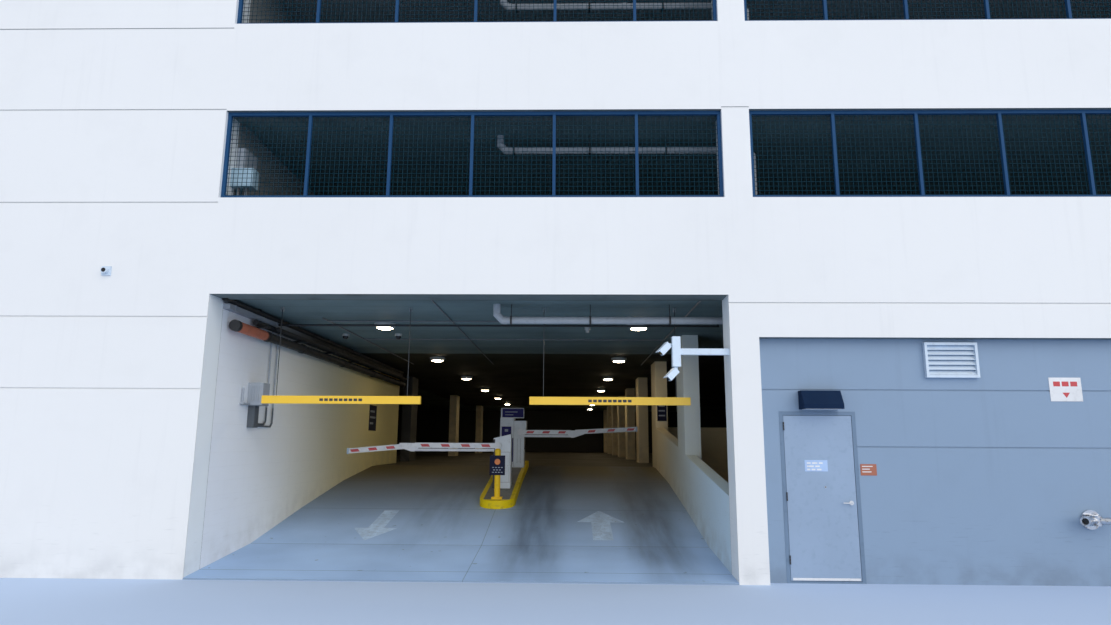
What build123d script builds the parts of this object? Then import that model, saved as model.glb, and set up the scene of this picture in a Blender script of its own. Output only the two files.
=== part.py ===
"""Multi storey car park: the street entrance bay with its ramp, barriers and clearance bars,
two mesh-windowed storeys above it, a roof deck, and the bays that run on beside and behind it.

Millimetres, +Z up, the street side faces -Y. The origin is the bottom centre of the whole building,
at street level. Lengths along a wall are counted from its left end, seen from outside.
"""

import os
from math import atan2, cos, degrees, hypot, radians, sin, tan

from build123d import *

os.makedirs("parts", exist_ok=True)

# Grid of the building
bay = 7620
front_bay_count = 4
side_bay_count = 5
pier_width = 395
wall_thickness = 430
opening_width = bay - pier_width
building_width = 2 * wall_thickness + front_bay_count * bay - pier_width
building_depth = 2 * wall_thickness + side_bay_count * bay - pier_width

# Levels above the street
entry_head = 3805
recess_head = 3216
recess_depth = 156
sill_height = 5214
window_height = 1334
storey_height = 2731
window_storeys = 2
guard_height = 1070
deck_thickness = 290
parapet_top = sill_height + window_storeys * storey_height
level_2_top = sill_height - guard_height
level_2_soffit = level_2_top - deck_thickness

# Score lines cast into the walls: heights, or rises above each window sill
score_width = 20
score_depth = 12
blank_scores = (2477, 3477)
blank_score_rises = (-75, 1349)
band_score = 3689
pier_score_rise = 1363
recess_scores = (1750, 2512)

# Flat sides that stand for a round form where facets must stay few
rod_sides = 8
knuckle_sides = 12
pipe_sides = 16
drum_sides = 24

# Steel window frames and their wire mesh, which is a thin panel here
frame_bar = 50
frame_depth = 50
frame_setback = 60
mullion_width = 44
pane_count = 6
mesh_thickness = 5

# Ramp, raised ground deck and service floor
ramp_stations = ((0, 20), (2000, 190), (4100, 550), (6600, 930), (8900, 1170))
ground_deck_top = 1180
ground_deck_thickness = 180
service_floor_top = 25

# Blade columns and low walls beside the lanes
column_width = 300
column_length = 900
first_column = 4100
column_pitch = 4570
lane_wall_thickness = 250
lane_wall_end = 11500
low_wall_thickness = 200
low_wall_rise = 1020

# Service door
leaf_width = 914
leaf_height = 2134
leaf_thickness = 45
leaf_gap = 5
door_from_pier = 315
jamb_face = 51
jamb_depth = 150
jamb_proud = 4
stop_width = 16
hinge_height = 114
hinge_radius = 8
hinge_pin_radius = 4
hinge_clear = 1
hinge_plate = 2
hinge_heights = (205, 1010, 1935)
running_clearance = 0.3
lever_height = 990
lever_backset = 70
lever_length = 125
lever_radius = 9
lever_standoff = 55
rose_radius = 27
rose_thickness = 10
spindle_radius = 6
lever_clear = 1

# Traffic island with its bollard
island_width = 680
island_centre = 3660
island_start = 4120
island_end = 9350
island_rise = 150
bollard_radius = 57
bollard_height = 930
bollard_setback = 230
bollard_chamfer = 28
bollard_base = (200, 25)
plate_drop = 130
bollard_sign = (296, 370)
bollard_sign_thickness = 4

# Barrier machines and their folding booms
exit_machine_y = 5200
exit_machine_size = (356, 330, 1000)
exit_top_slant = 85
exit_pivot_rise = 850
exit_pivot_inset = 90
entry_machine_y = 7750
entry_kiosk_size = (330, 420, 1170)
entry_machine_size = (250, 420, 1100)
entry_flare = 45
entry_flare_height = 170
entry_pivot_rise = 830
entry_pivot_inset = 90
kiosk_sign_size = (560, 90, 240)
kiosk_panel = (30, 270, 705, 965)
kiosk_panel_depth = 25
boom_depth = 105
boom_thickness = 30
boom_cap = 22
boom_cap_proud = 5
link_depth = 52
link_thickness = 18
link_offset = 90
exit_inner_length = 1640
exit_outer_length = 1440
exit_droop = 5
entry_inner_length = 1160
entry_outer_length = 1640
entry_droop = -3
cheek_thickness = 8
cheek_gap = 5
cheek_half = 45
cheek_back = 30
cheek_reach = 210
cheek_foot = 125
packer_length = 105
packer_depth = 74
packer_start = 126
outer_arm_gap = 40
boss_radius = 60
boss_depth = 14
hub_radius = 80
hub_clear = 5
shaft_radius = 22
shaft_seat = 40
pivot_radius = 10
pin_end = 6
pin_clear = 2
boom_standoff = 45

# Clearance bars on their hangers
clearance_bar_length = 2440
clearance_bar_depth = 120
clearance_bar_thickness = 60
clearance_bar_bottom = 2350
clearance_bar_setback = 1250
clearance_bar_centres = (1546, 5650)
hanger_inset = 210
hanger_radius = 6
hook_drop = 50
hook_pin_radius = 6
hook_ear = (8, 36, 18)
hook_ear_spread = 16
hook_eye_radius = 14
hook_eye_width = 10

# Ceiling lights and pipes
light_radius = 190
light_depth = 75
light_chamfer = 38
light_columns = (1750, 6260)
light_first = 2830
light_pitch = 5150
light_rows = 7
drain_radius = 55
drain_drops = (244, 244, 470)
drain_setback = 1000
drain_start = 3930
drain_end = 7900
drain_bend = 90
stirrup_places = (4150, 5350, 6550)
stirrup_width = 28
stirrup_plate = 6
stirrup_rod = 10
sprinkler_radius = 18
sprinkler_drop = 134
sprinkler_setback = 2200
sprinkler_overrun = 300
fire_main_radius = 54
fire_main_drop = 404
fire_main_start = 850
fire_main_end = 11300
fire_main_standoff = 130
main_bracket_first = 700
main_bracket_pitch = 2900
main_bracket_count = 4
main_bracket_size = 40

# Fixtures on the walls
camera_arm_height = 3024
camera_arm_size = 85
camera_arm_reach = 665
camera_arm_setback = 120
camera_post_size = 112
camera_post_length = 415
camera_body = (78, 84, 175)
camera_hood = (96, 8, 205)
camera_tilt = (-0.68, -0.2, -0.7)
camera_knuckle = 20
camera_gap = 42
upper_camera_rise = 100
wall_camera_height = 4129
wall_camera_from_entry = 1488
wall_camera_plate = 130
wall_camera_plate_depth = 22
wall_camera_radius = 42
wall_camera_depth = 60
lamp_width = 526
lamp_height = 248
lamp_depth = 240
lamp_top_depth = 132
lamp_lip = 60
lamp_bottom = 2248
lamp_from_door = 25
louvre_size = (715, 480)
louvre_frame = 35
louvre_bottom = 2684
louvre_from_pier = 2268
louvre_depth = 60
louvre_blades = 6
blade_reach = 45
blade_thickness = 8
inlet_height = 830
inlet_from_pier = 4250
inlet_reach = 300
inlet_flange = (125, 28)
inlet_stem_radius = 52
inlet_body_radius = 66
inlet_branch_radius = 46
inlet_branch_length = 260
inlet_swivel = (64, 62)
inlet_bore = (42, 45)
inlet_splay = 60
box_setback = 1450
box_bottom = 2330
box_size = (240, 250, 355)
small_box_size = (110, 150, 340)
small_box_offset = 60
conduit_radius = 14
conduit_bend = 60
conduit_places = (2130, 2390)
conduit_rises = (60, 30)
conduit_standoff = 30
sensor_bracket = (60, 430, 30)
sensor_tube = (15, 230)
sensor_inset = 70
upper_box = (120, 430, 380)
upper_box_setback = 440
upper_box_rise = 560

# Placement worked out from the sizes above
front_reach = inlet_reach - recess_depth
front_y = (front_reach - building_depth) / 2
back_y = front_y + building_depth
left_x = -building_width / 2
right_x = building_width / 2
inner_left = left_x + wall_thickness
inner_right = right_x - wall_thickness
inner_front = front_y + wall_thickness
inner_back = back_y - wall_thickness
entry_x = left_x + wall_thickness + bay
entry_right = entry_x + opening_width
pier_right = entry_right + pier_width
recess_y = front_y + recess_depth
ramp_end = first_column + column_pitch + column_length
deck_edge = front_y + ramp_end
fire_main_height = level_2_soffit - fire_main_drop
sprinkler_height = level_2_soffit - sprinkler_drop

front_face = Plane(origin=(left_x, front_y, 0), x_dir=(1, 0, 0), z_dir=(0, -1, 0))
right_face = Plane(origin=(right_x, front_y, 0), x_dir=(0, 1, 0), z_dir=(1, 0, 0))
back_face = Plane(origin=(right_x, back_y, 0), x_dir=(-1, 0, 0), z_dir=(0, 1, 0))
left_face = Plane(origin=(left_x, back_y, 0), x_dir=(0, -1, 0), z_dir=(-1, 0, 0))


def block(x0, x1, y0, y1, z0, z1, mode=Mode.ADD):
    """A plain slab, wall or post between two corners."""
    with BuildSketch(Plane.XY.offset(z0)) as plan:
        with Locations(((x0 + x1) / 2, (y0 + y1) / 2)):
            Rectangle(x1 - x0, y1 - y0)
    extrude(to_extrude=plan.sketch, amount=z1 - z0, mode=mode)


def round_outline(radius, sides=0):
    """A circle in the open sketch, or a regular outline with so many flat sides inside that circle."""
    if sides:
        RegularPolygon(radius, sides)
    else:
        Circle(radius)


def side_profile(points, x0, x1, mode=Mode.ADD):
    """A shape drawn in (y, z), seen from the right, and run from x0 to x1."""
    with BuildSketch(Plane.YZ.offset(x0)) as outline:
        with BuildLine():
            Polyline(*points, close=True)
        make_face()
    extrude(to_extrude=outline.sketch, amount=x1 - x0, mode=mode)


def bar_x(x0, x1, y, z, radius, sides=0, mode=Mode.ADD):
    """A round bar or pipe along X."""
    with BuildSketch(Plane.YZ.offset(x0)) as outline:
        with Locations((y, z)):
            round_outline(radius, sides)
    extrude(to_extrude=outline.sketch, amount=x1 - x0, mode=mode)


def bar_y(x, y0, y1, z, radius, sides=0, mode=Mode.ADD):
    """A round bar or pipe along Y."""
    with BuildSketch(Plane(origin=(x, y0, z), x_dir=(1, 0, 0), z_dir=(0, 1, 0))) as outline:
        round_outline(radius, sides)
    extrude(to_extrude=outline.sketch, amount=y1 - y0, mode=mode)


def bar_z(x, y, z0, z1, radius, sides=0, mode=Mode.ADD):
    """A round bar or pipe along Z."""
    with BuildSketch(Plane.XY.offset(z0)) as outline:
        with Locations((x, y)):
            round_outline(radius, sides)
    extrude(to_extrude=outline.sketch, amount=z1 - z0, mode=mode)


def wall_panel(face, start, end, low, high, front=0, back=wall_thickness):
    """A plain block of wall, from start to end along a face, with its front and back behind it."""
    with BuildSketch(face.offset(-back)) as outline:
        with Locations(((start + end) / 2, (low + high) / 2)):
            Rectangle(end - start, high - low)
    extrude(to_extrude=outline.sketch, amount=back - front)


def score_lines(face, start, end, heights, front=0):
    """Shallow level grooves cut into a face, from start to end along it."""
    with BuildSketch(face.offset(-front)) as outline:
        with Locations(*[((start + end) / 2, height) for height in heights]):
            Rectangle(end - start, score_width)
    extrude(to_extrude=outline.sketch, amount=-score_depth, mode=Mode.SUBTRACT)


def opening_start(number):
    """Where opening number begins along its wall."""
    return wall_thickness + number * bay


def sill_of(storey):
    """Sill height of a window storey, the lowest being 0; the parapet's top follows the last."""
    return sill_height + storey * storey_height


def wall_piers(face, first, last):
    """Full height piers between the openings from first to last."""
    for number in range(first, last):
        start = opening_start(number) + opening_width
        wall_panel(face, start, start + pier_width, 0, parapet_top)


def wall_spandrels(face, first, last, lowest):
    """Bands of wall over the ground storey and over each window storey."""
    for number in range(first, last):
        start = opening_start(number)
        wall_panel(face, start, start + opening_width, lowest, sill_height)
        for storey in range(window_storeys):
            head = sill_of(storey) + window_height
            wall_panel(face, start, start + opening_width, head, sill_of(storey + 1))


def base_walls(face, first, last):
    """Recessed walls that close the ground storey between the piers."""
    for number in range(first, last):
        start = opening_start(number)
        wall_panel(face, start, start + opening_width, 0, recess_head, front=recess_depth)


def window_frames(face, first, last, panes):
    """One steel frame in each window opening, with mullions between its panes."""
    pane_width = (opening_width - 2 * frame_bar - (panes - 1) * mullion_width) / panes
    pane_height = window_height - 2 * frame_bar
    for number in range(first, last):
        middle = opening_start(number) + opening_width / 2
        for storey in range(window_storeys):
            with BuildSketch(face.offset(-frame_setback - frame_depth)) as outline:
                with Locations((middle, sill_of(storey) + window_height / 2)):
                    Rectangle(opening_width, window_height)
                    with GridLocations(pane_width + mullion_width, 0, panes, 1):
                        Rectangle(pane_width, pane_height, mode=Mode.SUBTRACT)
            extrude(to_extrude=outline.sketch, amount=frame_depth)


def window_meshes(face, first, last):
    """One panel behind each window frame, which stands for its woven wires."""
    mesh_front = frame_setback + frame_depth
    for number in range(first, last):
        start = opening_start(number)
        for storey in range(window_storeys):
            low = sill_of(storey)
            wall_panel(face, start, start + opening_width, low, low + window_height,
                       front=mesh_front, back=mesh_front + mesh_thickness)


def ramp_height(y):
    """Height of the ramp at a distance y behind the street face."""
    for (y0, z0), (y1, z1) in zip(ramp_stations, ramp_stations[1:]):
        if y <= y1:
            return z0 + (z1 - z0) * (y - y0) / (y1 - y0)
    y0, z0 = ramp_stations[-1]
    return z0 + (ground_deck_top - z0) * min(1, (y - y0) / (ramp_end - y0))


def ramp_line(y0, y1, rise):
    """Points along the ramp's surface from y0 to y1, lifted by rise, in the model's frame."""
    inner = [y for y, z in ramp_stations if y0 < y < y1]
    return [(front_y + y, ramp_height(y) + rise) for y in (y0, *inner, y1)]


def write_piece(piece, label):
    """Name a finished piece and write its file."""
    piece.part.label = label
    export_step(piece.part, f"parts/{label}.step")


# Score lines line up with the windows, so their heights follow the sills
window_sills = [sill_of(storey) for storey in range(window_storeys)]
wall_scores = [*blank_scores, *(sill + rise for sill in window_sills for rise in blank_score_rises)]
pier_scores = [band_score, *(sill + pier_score_rise for sill in window_sills)]

# Blank wall on the left of the entrance: one plain mass with the front left corner
with BuildPart() as blank_wall:
    wall_panel(front_face, 0, opening_start(1), 0, parapet_top)
    score_lines(front_face, 0, opening_start(1), wall_scores)
write_piece(blank_wall, "blank_wall")

# Front piers, and the post on the front right corner
with BuildPart() as front_piers:
    wall_piers(front_face, 1, front_bay_count - 1)
    wall_panel(front_face, building_width - wall_thickness, building_width, 0, parapet_top)
    score_lines(front_face, opening_start(1), building_width, pier_scores)
write_piece(front_piers, "front_piers")

# Front spandrels: the entrance's lintel is higher than the heads of the recessed walls
with BuildPart() as front_spandrels:
    wall_spandrels(front_face, 1, 2, entry_head)
    wall_spandrels(front_face, 2, front_bay_count, recess_head)
    score_lines(front_face, opening_start(2), building_width, [band_score])
write_piece(front_spandrels, "front_spandrels")

# Recessed service wall, left open at the doorway
door_left = pier_right + door_from_pier
door_outer_left = door_left - leaf_gap - jamb_face
door_outer_right = door_left + leaf_width + leaf_gap + jamb_face
leaf_bottom = service_floor_top + leaf_gap
door_head = leaf_bottom + leaf_height + leaf_gap + jamb_face
bay_right = pier_right + opening_width
with BuildPart() as service_wall:
    for wall_start, wall_end in ((pier_right, door_outer_left), (door_outer_right, bay_right)):
        wall_panel(front_face, wall_start - left_x, wall_end - left_x, 0, recess_head, front=recess_depth)
    base_walls(front_face, 3, front_bay_count)
    score_lines(front_face, pier_right - left_x, building_width, recess_scores[-1:], recess_depth)
    score_lines(front_face, door_outer_right - left_x, building_width, recess_scores[:-1], recess_depth)
write_piece(service_wall, "service_wall")

with BuildPart() as door_head_wall:
    wall_panel(front_face, door_outer_left - left_x, door_outer_right - left_x, door_head, recess_head,
               front=recess_depth)
    score_lines(front_face, door_outer_left - left_x, door_outer_right - left_x, recess_scores[-1:],
                recess_depth)
write_piece(door_head_wall, "door_head_wall")

# Side and back walls repeat the recessed bays of the front
with BuildPart() as outer_piers:
    wall_piers(right_face, 0, side_bay_count - 1)
    wall_piers(left_face, 0, side_bay_count - 1)
    wall_piers(back_face, 0, front_bay_count - 1)
    for post_start in (0, building_width - wall_thickness):
        wall_panel(back_face, post_start, post_start + wall_thickness, 0, parapet_top)
    score_lines(right_face, opening_start(0), building_depth, [band_score])
    score_lines(left_face, 0, building_depth - wall_thickness, [band_score])
    score_lines(back_face, 0, building_width, [band_score])
write_piece(outer_piers, "outer_piers")

with BuildPart() as outer_spandrels:
    wall_spandrels(right_face, 0, side_bay_count, recess_head)
    wall_spandrels(left_face, 0, side_bay_count, recess_head)
    wall_spandrels(back_face, 0, front_bay_count, recess_head)
    score_lines(right_face, opening_start(0), building_depth, [band_score])
    score_lines(left_face, 0, building_depth - wall_thickness, [band_score])
    score_lines(back_face, 0, building_width, [band_score])
write_piece(outer_spandrels, "outer_spandrels")

with BuildPart() as outer_base_walls:
    base_walls(right_face, 0, side_bay_count)
    base_walls(left_face, 0, side_bay_count)
    base_walls(back_face, 0, front_bay_count)
write_piece(outer_base_walls, "outer_base_walls")

# Parking decks, cast between the outer walls
for deck_number in range(window_storeys + 1):
    deck_top = level_2_top + deck_number * storey_height
    with BuildPart() as parking_deck:
        block(inner_left, inner_right, inner_front, inner_back, deck_top - deck_thickness, deck_top)
    write_piece(parking_deck, f"level_{deck_number + 2}_deck")

# Raised ground deck: behind the ramp, and beside it as far as the blank wall
ground_deck_soffit = ground_deck_top - ground_deck_thickness
with BuildPart() as ground_deck:
    with BuildSketch(Plane.XY.offset(ground_deck_soffit)):
        with BuildLine():
            Polyline((inner_left, inner_front), (entry_x - lane_wall_thickness, inner_front),
                     (entry_x - lane_wall_thickness, deck_edge), (inner_right, deck_edge),
                     (inner_right, inner_back), (inner_left, inner_back), close=True)
        make_face()
    extrude(amount=ground_deck_thickness)
write_piece(ground_deck, "ground_deck")

# Ramp up from the street between the lane wall and the low wall
with BuildPart() as ramp:
    side_profile([(front_y, 0), *ramp_line(0, ramp_end, 0), (deck_edge, 0)], entry_x, entry_right)
write_piece(ramp, "entrance_ramp")

# Street level floor behind the service door
low_wall_outer = entry_right + low_wall_thickness
with BuildPart() as service_floor:
    block(entry_right + column_width, inner_right, inner_front, deck_edge - low_wall_thickness,
          0, service_floor_top)
write_piece(service_floor, "service_floor")

# Solid wall on the left of the lanes; its far end stands on the ground deck, and it goes on above each deck
with BuildPart() as lane_wall:
    side_profile([(inner_front, 0), (deck_edge, 0), (deck_edge, ground_deck_top),
                  (front_y + lane_wall_end, ground_deck_top), (front_y + lane_wall_end, level_2_soffit),
                  (inner_front, level_2_soffit)], entry_x - lane_wall_thickness, entry_x)
    for storey in range(window_storeys):
        wall_foot = level_2_top + storey * storey_height
        block(entry_x - lane_wall_thickness, entry_x, inner_front, front_y + lane_wall_end,
              wall_foot, wall_foot + storey_height - deck_thickness)
write_piece(lane_wall, "lane_wall")

# Low walls: two that climb with the ramp, and one that holds the edge of the ground deck
with BuildPart() as low_walls:
    for wall_start, wall_end in ((wall_thickness, first_column),
                                 (first_column + column_length, first_column + column_pitch)):
        side_profile([(front_y + wall_start, 0),
                      (front_y + wall_start, ramp_height(wall_start) + low_wall_rise),
                      (front_y + wall_end, ramp_height(wall_end) + low_wall_rise),
                      (front_y + wall_end, 0)], entry_right, low_wall_outer)
    block(entry_right + column_width, inner_right, deck_edge - low_wall_thickness, deck_edge,
          0, ground_deck_top + low_wall_rise)
write_piece(low_walls, "low_walls")

# Blade columns of the ground storey; those on the ground deck go on below it
lane_column_x = entry_right
left_column_x = entry_x - column_width
right_column_x = pier_right + opening_width + (pier_width - column_width) / 2
column_count = int((building_depth - wall_thickness - first_column - column_length) // column_pitch) + 1
column_ys = [front_y + first_column + number * column_pitch for number in range(column_count)]


def ground_column(x, y, foot=0):
    """One column from the floor it stands on to the deck above."""
    if y < deck_edge:
        block(x, x + column_width, y, y + column_length, foot, level_2_soffit)
    else:
        block(x, x + column_width, y, y + column_length, 0, ground_deck_soffit)
        block(x, x + column_width, y, y + column_length, ground_deck_top, level_2_soffit)


with BuildPart() as ground_columns:
    for column_y in column_ys:
        ground_column(lane_column_x, column_y)
    for column_y in column_ys[::2]:
        ground_column(right_column_x, column_y, service_floor_top)
        if column_y > front_y + lane_wall_end:
            ground_column(left_column_x, column_y)
write_piece(ground_columns, "ground_columns")

with BuildPart() as upper_columns:
    for storey in range(window_storeys):
        column_foot = level_2_top + storey * storey_height
        for column_x in (left_column_x, lane_column_x, right_column_x):
            for column_y in column_ys[::2]:
                if column_x != left_column_x or column_y > front_y + lane_wall_end:
                    block(column_x, column_x + column_width, column_y, column_y + column_length,
                          column_foot, column_foot + storey_height - deck_thickness)
write_piece(upper_columns, "upper_columns")

# Window frames and mesh panels; only the street's frames have their mullions here
with BuildPart() as front_window_frames:
    window_frames(front_face, 1, front_bay_count, pane_count)
write_piece(front_window_frames, "front_window_frames")

with BuildPart() as outer_window_frames:
    window_frames(right_face, 0, side_bay_count, 1)
    window_frames(left_face, 0, side_bay_count, 1)
    window_frames(back_face, 0, front_bay_count, 1)
write_piece(outer_window_frames, "outer_window_frames")

with BuildPart() as front_window_mesh:
    window_meshes(front_face, 1, front_bay_count)
write_piece(front_window_mesh, "front_window_mesh")

with BuildPart() as outer_window_mesh:
    window_meshes(right_face, 0, side_bay_count)
    window_meshes(left_face, 0, side_bay_count)
    window_meshes(back_face, 0, front_bay_count)
write_piece(outer_window_mesh, "outer_window_mesh")

# Door frame: jambs and head with a stop behind the leaf, and a threshold
leaf_y = recess_y
jamb_front = recess_y - jamb_proud
door_middle = (door_outer_left + door_outer_right) / 2
clear_width = leaf_width + 2 * leaf_gap
with BuildPart() as door_frame:
    with BuildSketch(front_face.offset(-(recess_depth - jamb_proud + jamb_depth))) as jamb_outline:
        with Locations((door_middle - left_x, door_head / 2)):
            Rectangle(door_outer_right - door_outer_left, door_head)
        with Locations((door_middle - left_x, service_floor_top)):
            Rectangle(clear_width, door_head - jamb_face - service_floor_top,
                      align=(Align.CENTER, Align.MIN), mode=Mode.SUBTRACT)
    extrude(to_extrude=jamb_outline.sketch, amount=jamb_depth)
    stop_depth = jamb_depth - jamb_proud - leaf_thickness - leaf_gap
    with BuildSketch(front_face.offset(-(recess_depth - jamb_proud + jamb_depth))) as stop_outline:
        with Locations((door_middle - left_x, service_floor_top)):
            Rectangle(clear_width, door_head - jamb_face - service_floor_top,
                      align=(Align.CENTER, Align.MIN))
            Rectangle(clear_width - 2 * stop_width, door_head - jamb_face - service_floor_top - stop_width,
                      align=(Align.CENTER, Align.MIN), mode=Mode.SUBTRACT)
    extrude(to_extrude=stop_outline.sketch, amount=stop_depth)
    pin_x = door_left - leaf_gap / 2
    pin_y = jamb_front - hinge_clear - hinge_radius
    knuckle = hinge_height / 3
    for hinge_bottom in hinge_heights:
        low = leaf_bottom + hinge_bottom
        bar_z(pin_x, pin_y, low, low + hinge_height, hinge_pin_radius, knuckle_sides)
        for start in (low, low + 2 * knuckle + running_clearance):
            bar_z(pin_x, pin_y, start, start + knuckle - running_clearance, hinge_radius, knuckle_sides)
            block(door_left - leaf_gap, door_left - leaf_gap + hinge_plate, pin_y, jamb_front + jamb_proud,
                  start, start + knuckle - running_clearance)
write_piece(door_frame, "door_frame")

# Door leaf, with its hinge knuckles and the rose of the lever
lever_x = door_left + leaf_width - lever_backset
lever_z = leaf_bottom + lever_height
with BuildPart() as door_leaf:
    block(door_left, door_left + leaf_width, leaf_y, leaf_y + leaf_thickness,
          leaf_bottom, leaf_bottom + leaf_height)
    for hinge_bottom in hinge_heights:
        low = leaf_bottom + hinge_bottom + knuckle
        bar_z(pin_x, pin_y, low, low + knuckle, hinge_radius, knuckle_sides)
        block(door_left - hinge_plate, door_left, pin_y, leaf_y + leaf_thickness / 2, low, low + knuckle)
        bar_z(pin_x, pin_y, low, low + knuckle, hinge_pin_radius + running_clearance, mode=Mode.SUBTRACT)
    bar_y(lever_x, leaf_y - rose_thickness, leaf_y, lever_z, rose_radius, drum_sides)
    bar_y(lever_x, leaf_y - rose_thickness, leaf_y, lever_z, spindle_radius + running_clearance,
          mode=Mode.SUBTRACT)
write_piece(door_leaf, "door_leaf")

# Lever handle on its spindle
lever_y = leaf_y - lever_standoff
with BuildPart() as door_lever:
    bar_y(lever_x, lever_y, leaf_y - running_clearance, lever_z, spindle_radius, knuckle_sides)
    bar_y(lever_x, lever_y - lever_radius, leaf_y - rose_thickness - lever_clear, lever_z, lever_radius,
          pipe_sides)
    bar_x(lever_x - lever_length, lever_x, lever_y, lever_z, lever_radius, pipe_sides)
write_piece(door_lever, "door_lever")

# Traffic island that climbs the ramp between the two lanes
island_x = entry_x + island_centre
with BuildPart() as island:
    with BuildSketch(Plane.XY):
        with Locations((island_x, front_y + (island_start + island_end) / 2)):
            SlotOverall(island_end - island_start, island_width, rotation=90)
    extrude(amount=ground_deck_top + 2 * island_rise)
    side_profile([*ramp_line(island_start, island_end, 0),
                  *reversed(ramp_line(island_start, island_end, island_rise))],
                 island_x - island_width, island_x + island_width, Mode.INTERSECT)
write_piece(island, "traffic_island")


def island_top(y):
    """Height of the island's top at a distance y behind the street face."""
    return ramp_height(y) + island_rise


def cabinet(outline_points, y, depth):
    """A machine housing on the sloping island, from its front outline in (x, rise above the island at y)."""
    foot = ramp_height(y)
    left = min(x for x, rise in outline_points)
    right = max(x for x, rise in outline_points)
    with BuildSketch(Plane(origin=(0, front_y + y, island_top(y)), x_dir=(1, 0, 0),
                           z_dir=(0, -1, 0))) as outline:
        with BuildLine():
            Polyline(*outline_points, close=True)
        make_face()
    extrude(to_extrude=outline.sketch, amount=-depth)
    side_profile([(front_y + y, foot), *ramp_line(y, y + depth, island_rise), (front_y + y + depth, foot)],
                 left, right, Mode.SUBTRACT)


# Bollard at the island's nose: a tube with a chamfered top on a base plate, and the plate it carries
bollard_y = island_start + bollard_setback
bollard_top = island_top(bollard_y) + bollard_height
with BuildPart() as bollard:
    bar_z(island_x, front_y + bollard_y, 0, bollard_top, bollard_radius, drum_sides)
    chamfer(bollard.faces().sort_by(Axis.Z)[-1].edges(), bollard_chamfer)
    base_reach = bollard_base[0] / 2
    block(island_x - base_reach, island_x + base_reach, front_y + bollard_y - base_reach,
          front_y + bollard_y + base_reach, 0, island_top(bollard_y) + bollard_base[1])
    side_profile([(front_y + bollard_y - base_reach, 0),
                  *ramp_line(bollard_y - base_reach, bollard_y + base_reach, island_rise),
                  (front_y + bollard_y + base_reach, 0)],
                 island_x - base_reach, island_x + base_reach, Mode.SUBTRACT)
write_piece(bollard, "bollard")

sign_top = bollard_top - plate_drop
with BuildPart() as bollard_plate:
    sign_back = front_y + bollard_y - bollard_radius
    block(island_x - bollard_sign[0] / 2, island_x + bollard_sign[0] / 2,
          sign_back - bollard_sign_thickness, sign_back, sign_top - bollard_sign[1], sign_top)
write_piece(bollard_plate, "bollard_plate")


# A folding boom: the inner arm and the link under it lift together, and the outer arm stays level
def boom_frame(pivot_x, pivot_y, pivot_z, side):
    """The plane a boom moves in: x along the boom from its pivot, y up, z towards the street or back."""
    return Plane(origin=(pivot_x, pivot_y, pivot_z), x_dir=(side, 0, 0), z_dir=(0, -side, 0))


def flat_arm(plane, start, end, depth, thickness, overrun=0):
    """A flat square-ended arm between two points, centred on the boom's plane; overrun adds to both ends."""
    middle = ((start[0] + end[0]) / 2, (start[1] + end[1]) / 2)
    length = hypot(end[0] - start[0], end[1] - start[1])
    turn = degrees(atan2(end[1] - start[1], end[0] - start[0]))
    with BuildSketch(plane.offset(-thickness / 2)) as outline:
        with Locations(middle):
            Rectangle(length + 2 * overrun, depth, rotation=turn)
    extrude(to_extrude=outline.sketch, amount=thickness)


def pin(plane, place, radius, front, back, sides=0, mode=Mode.ADD):
    """A round pin or hole across the boom's plane, from front to back of it."""
    with BuildSketch(plane.offset(back)) as outline:
        with Locations(place):
            round_outline(radius, sides)
    extrude(to_extrude=outline.sketch, amount=front - back, mode=mode)


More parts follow.
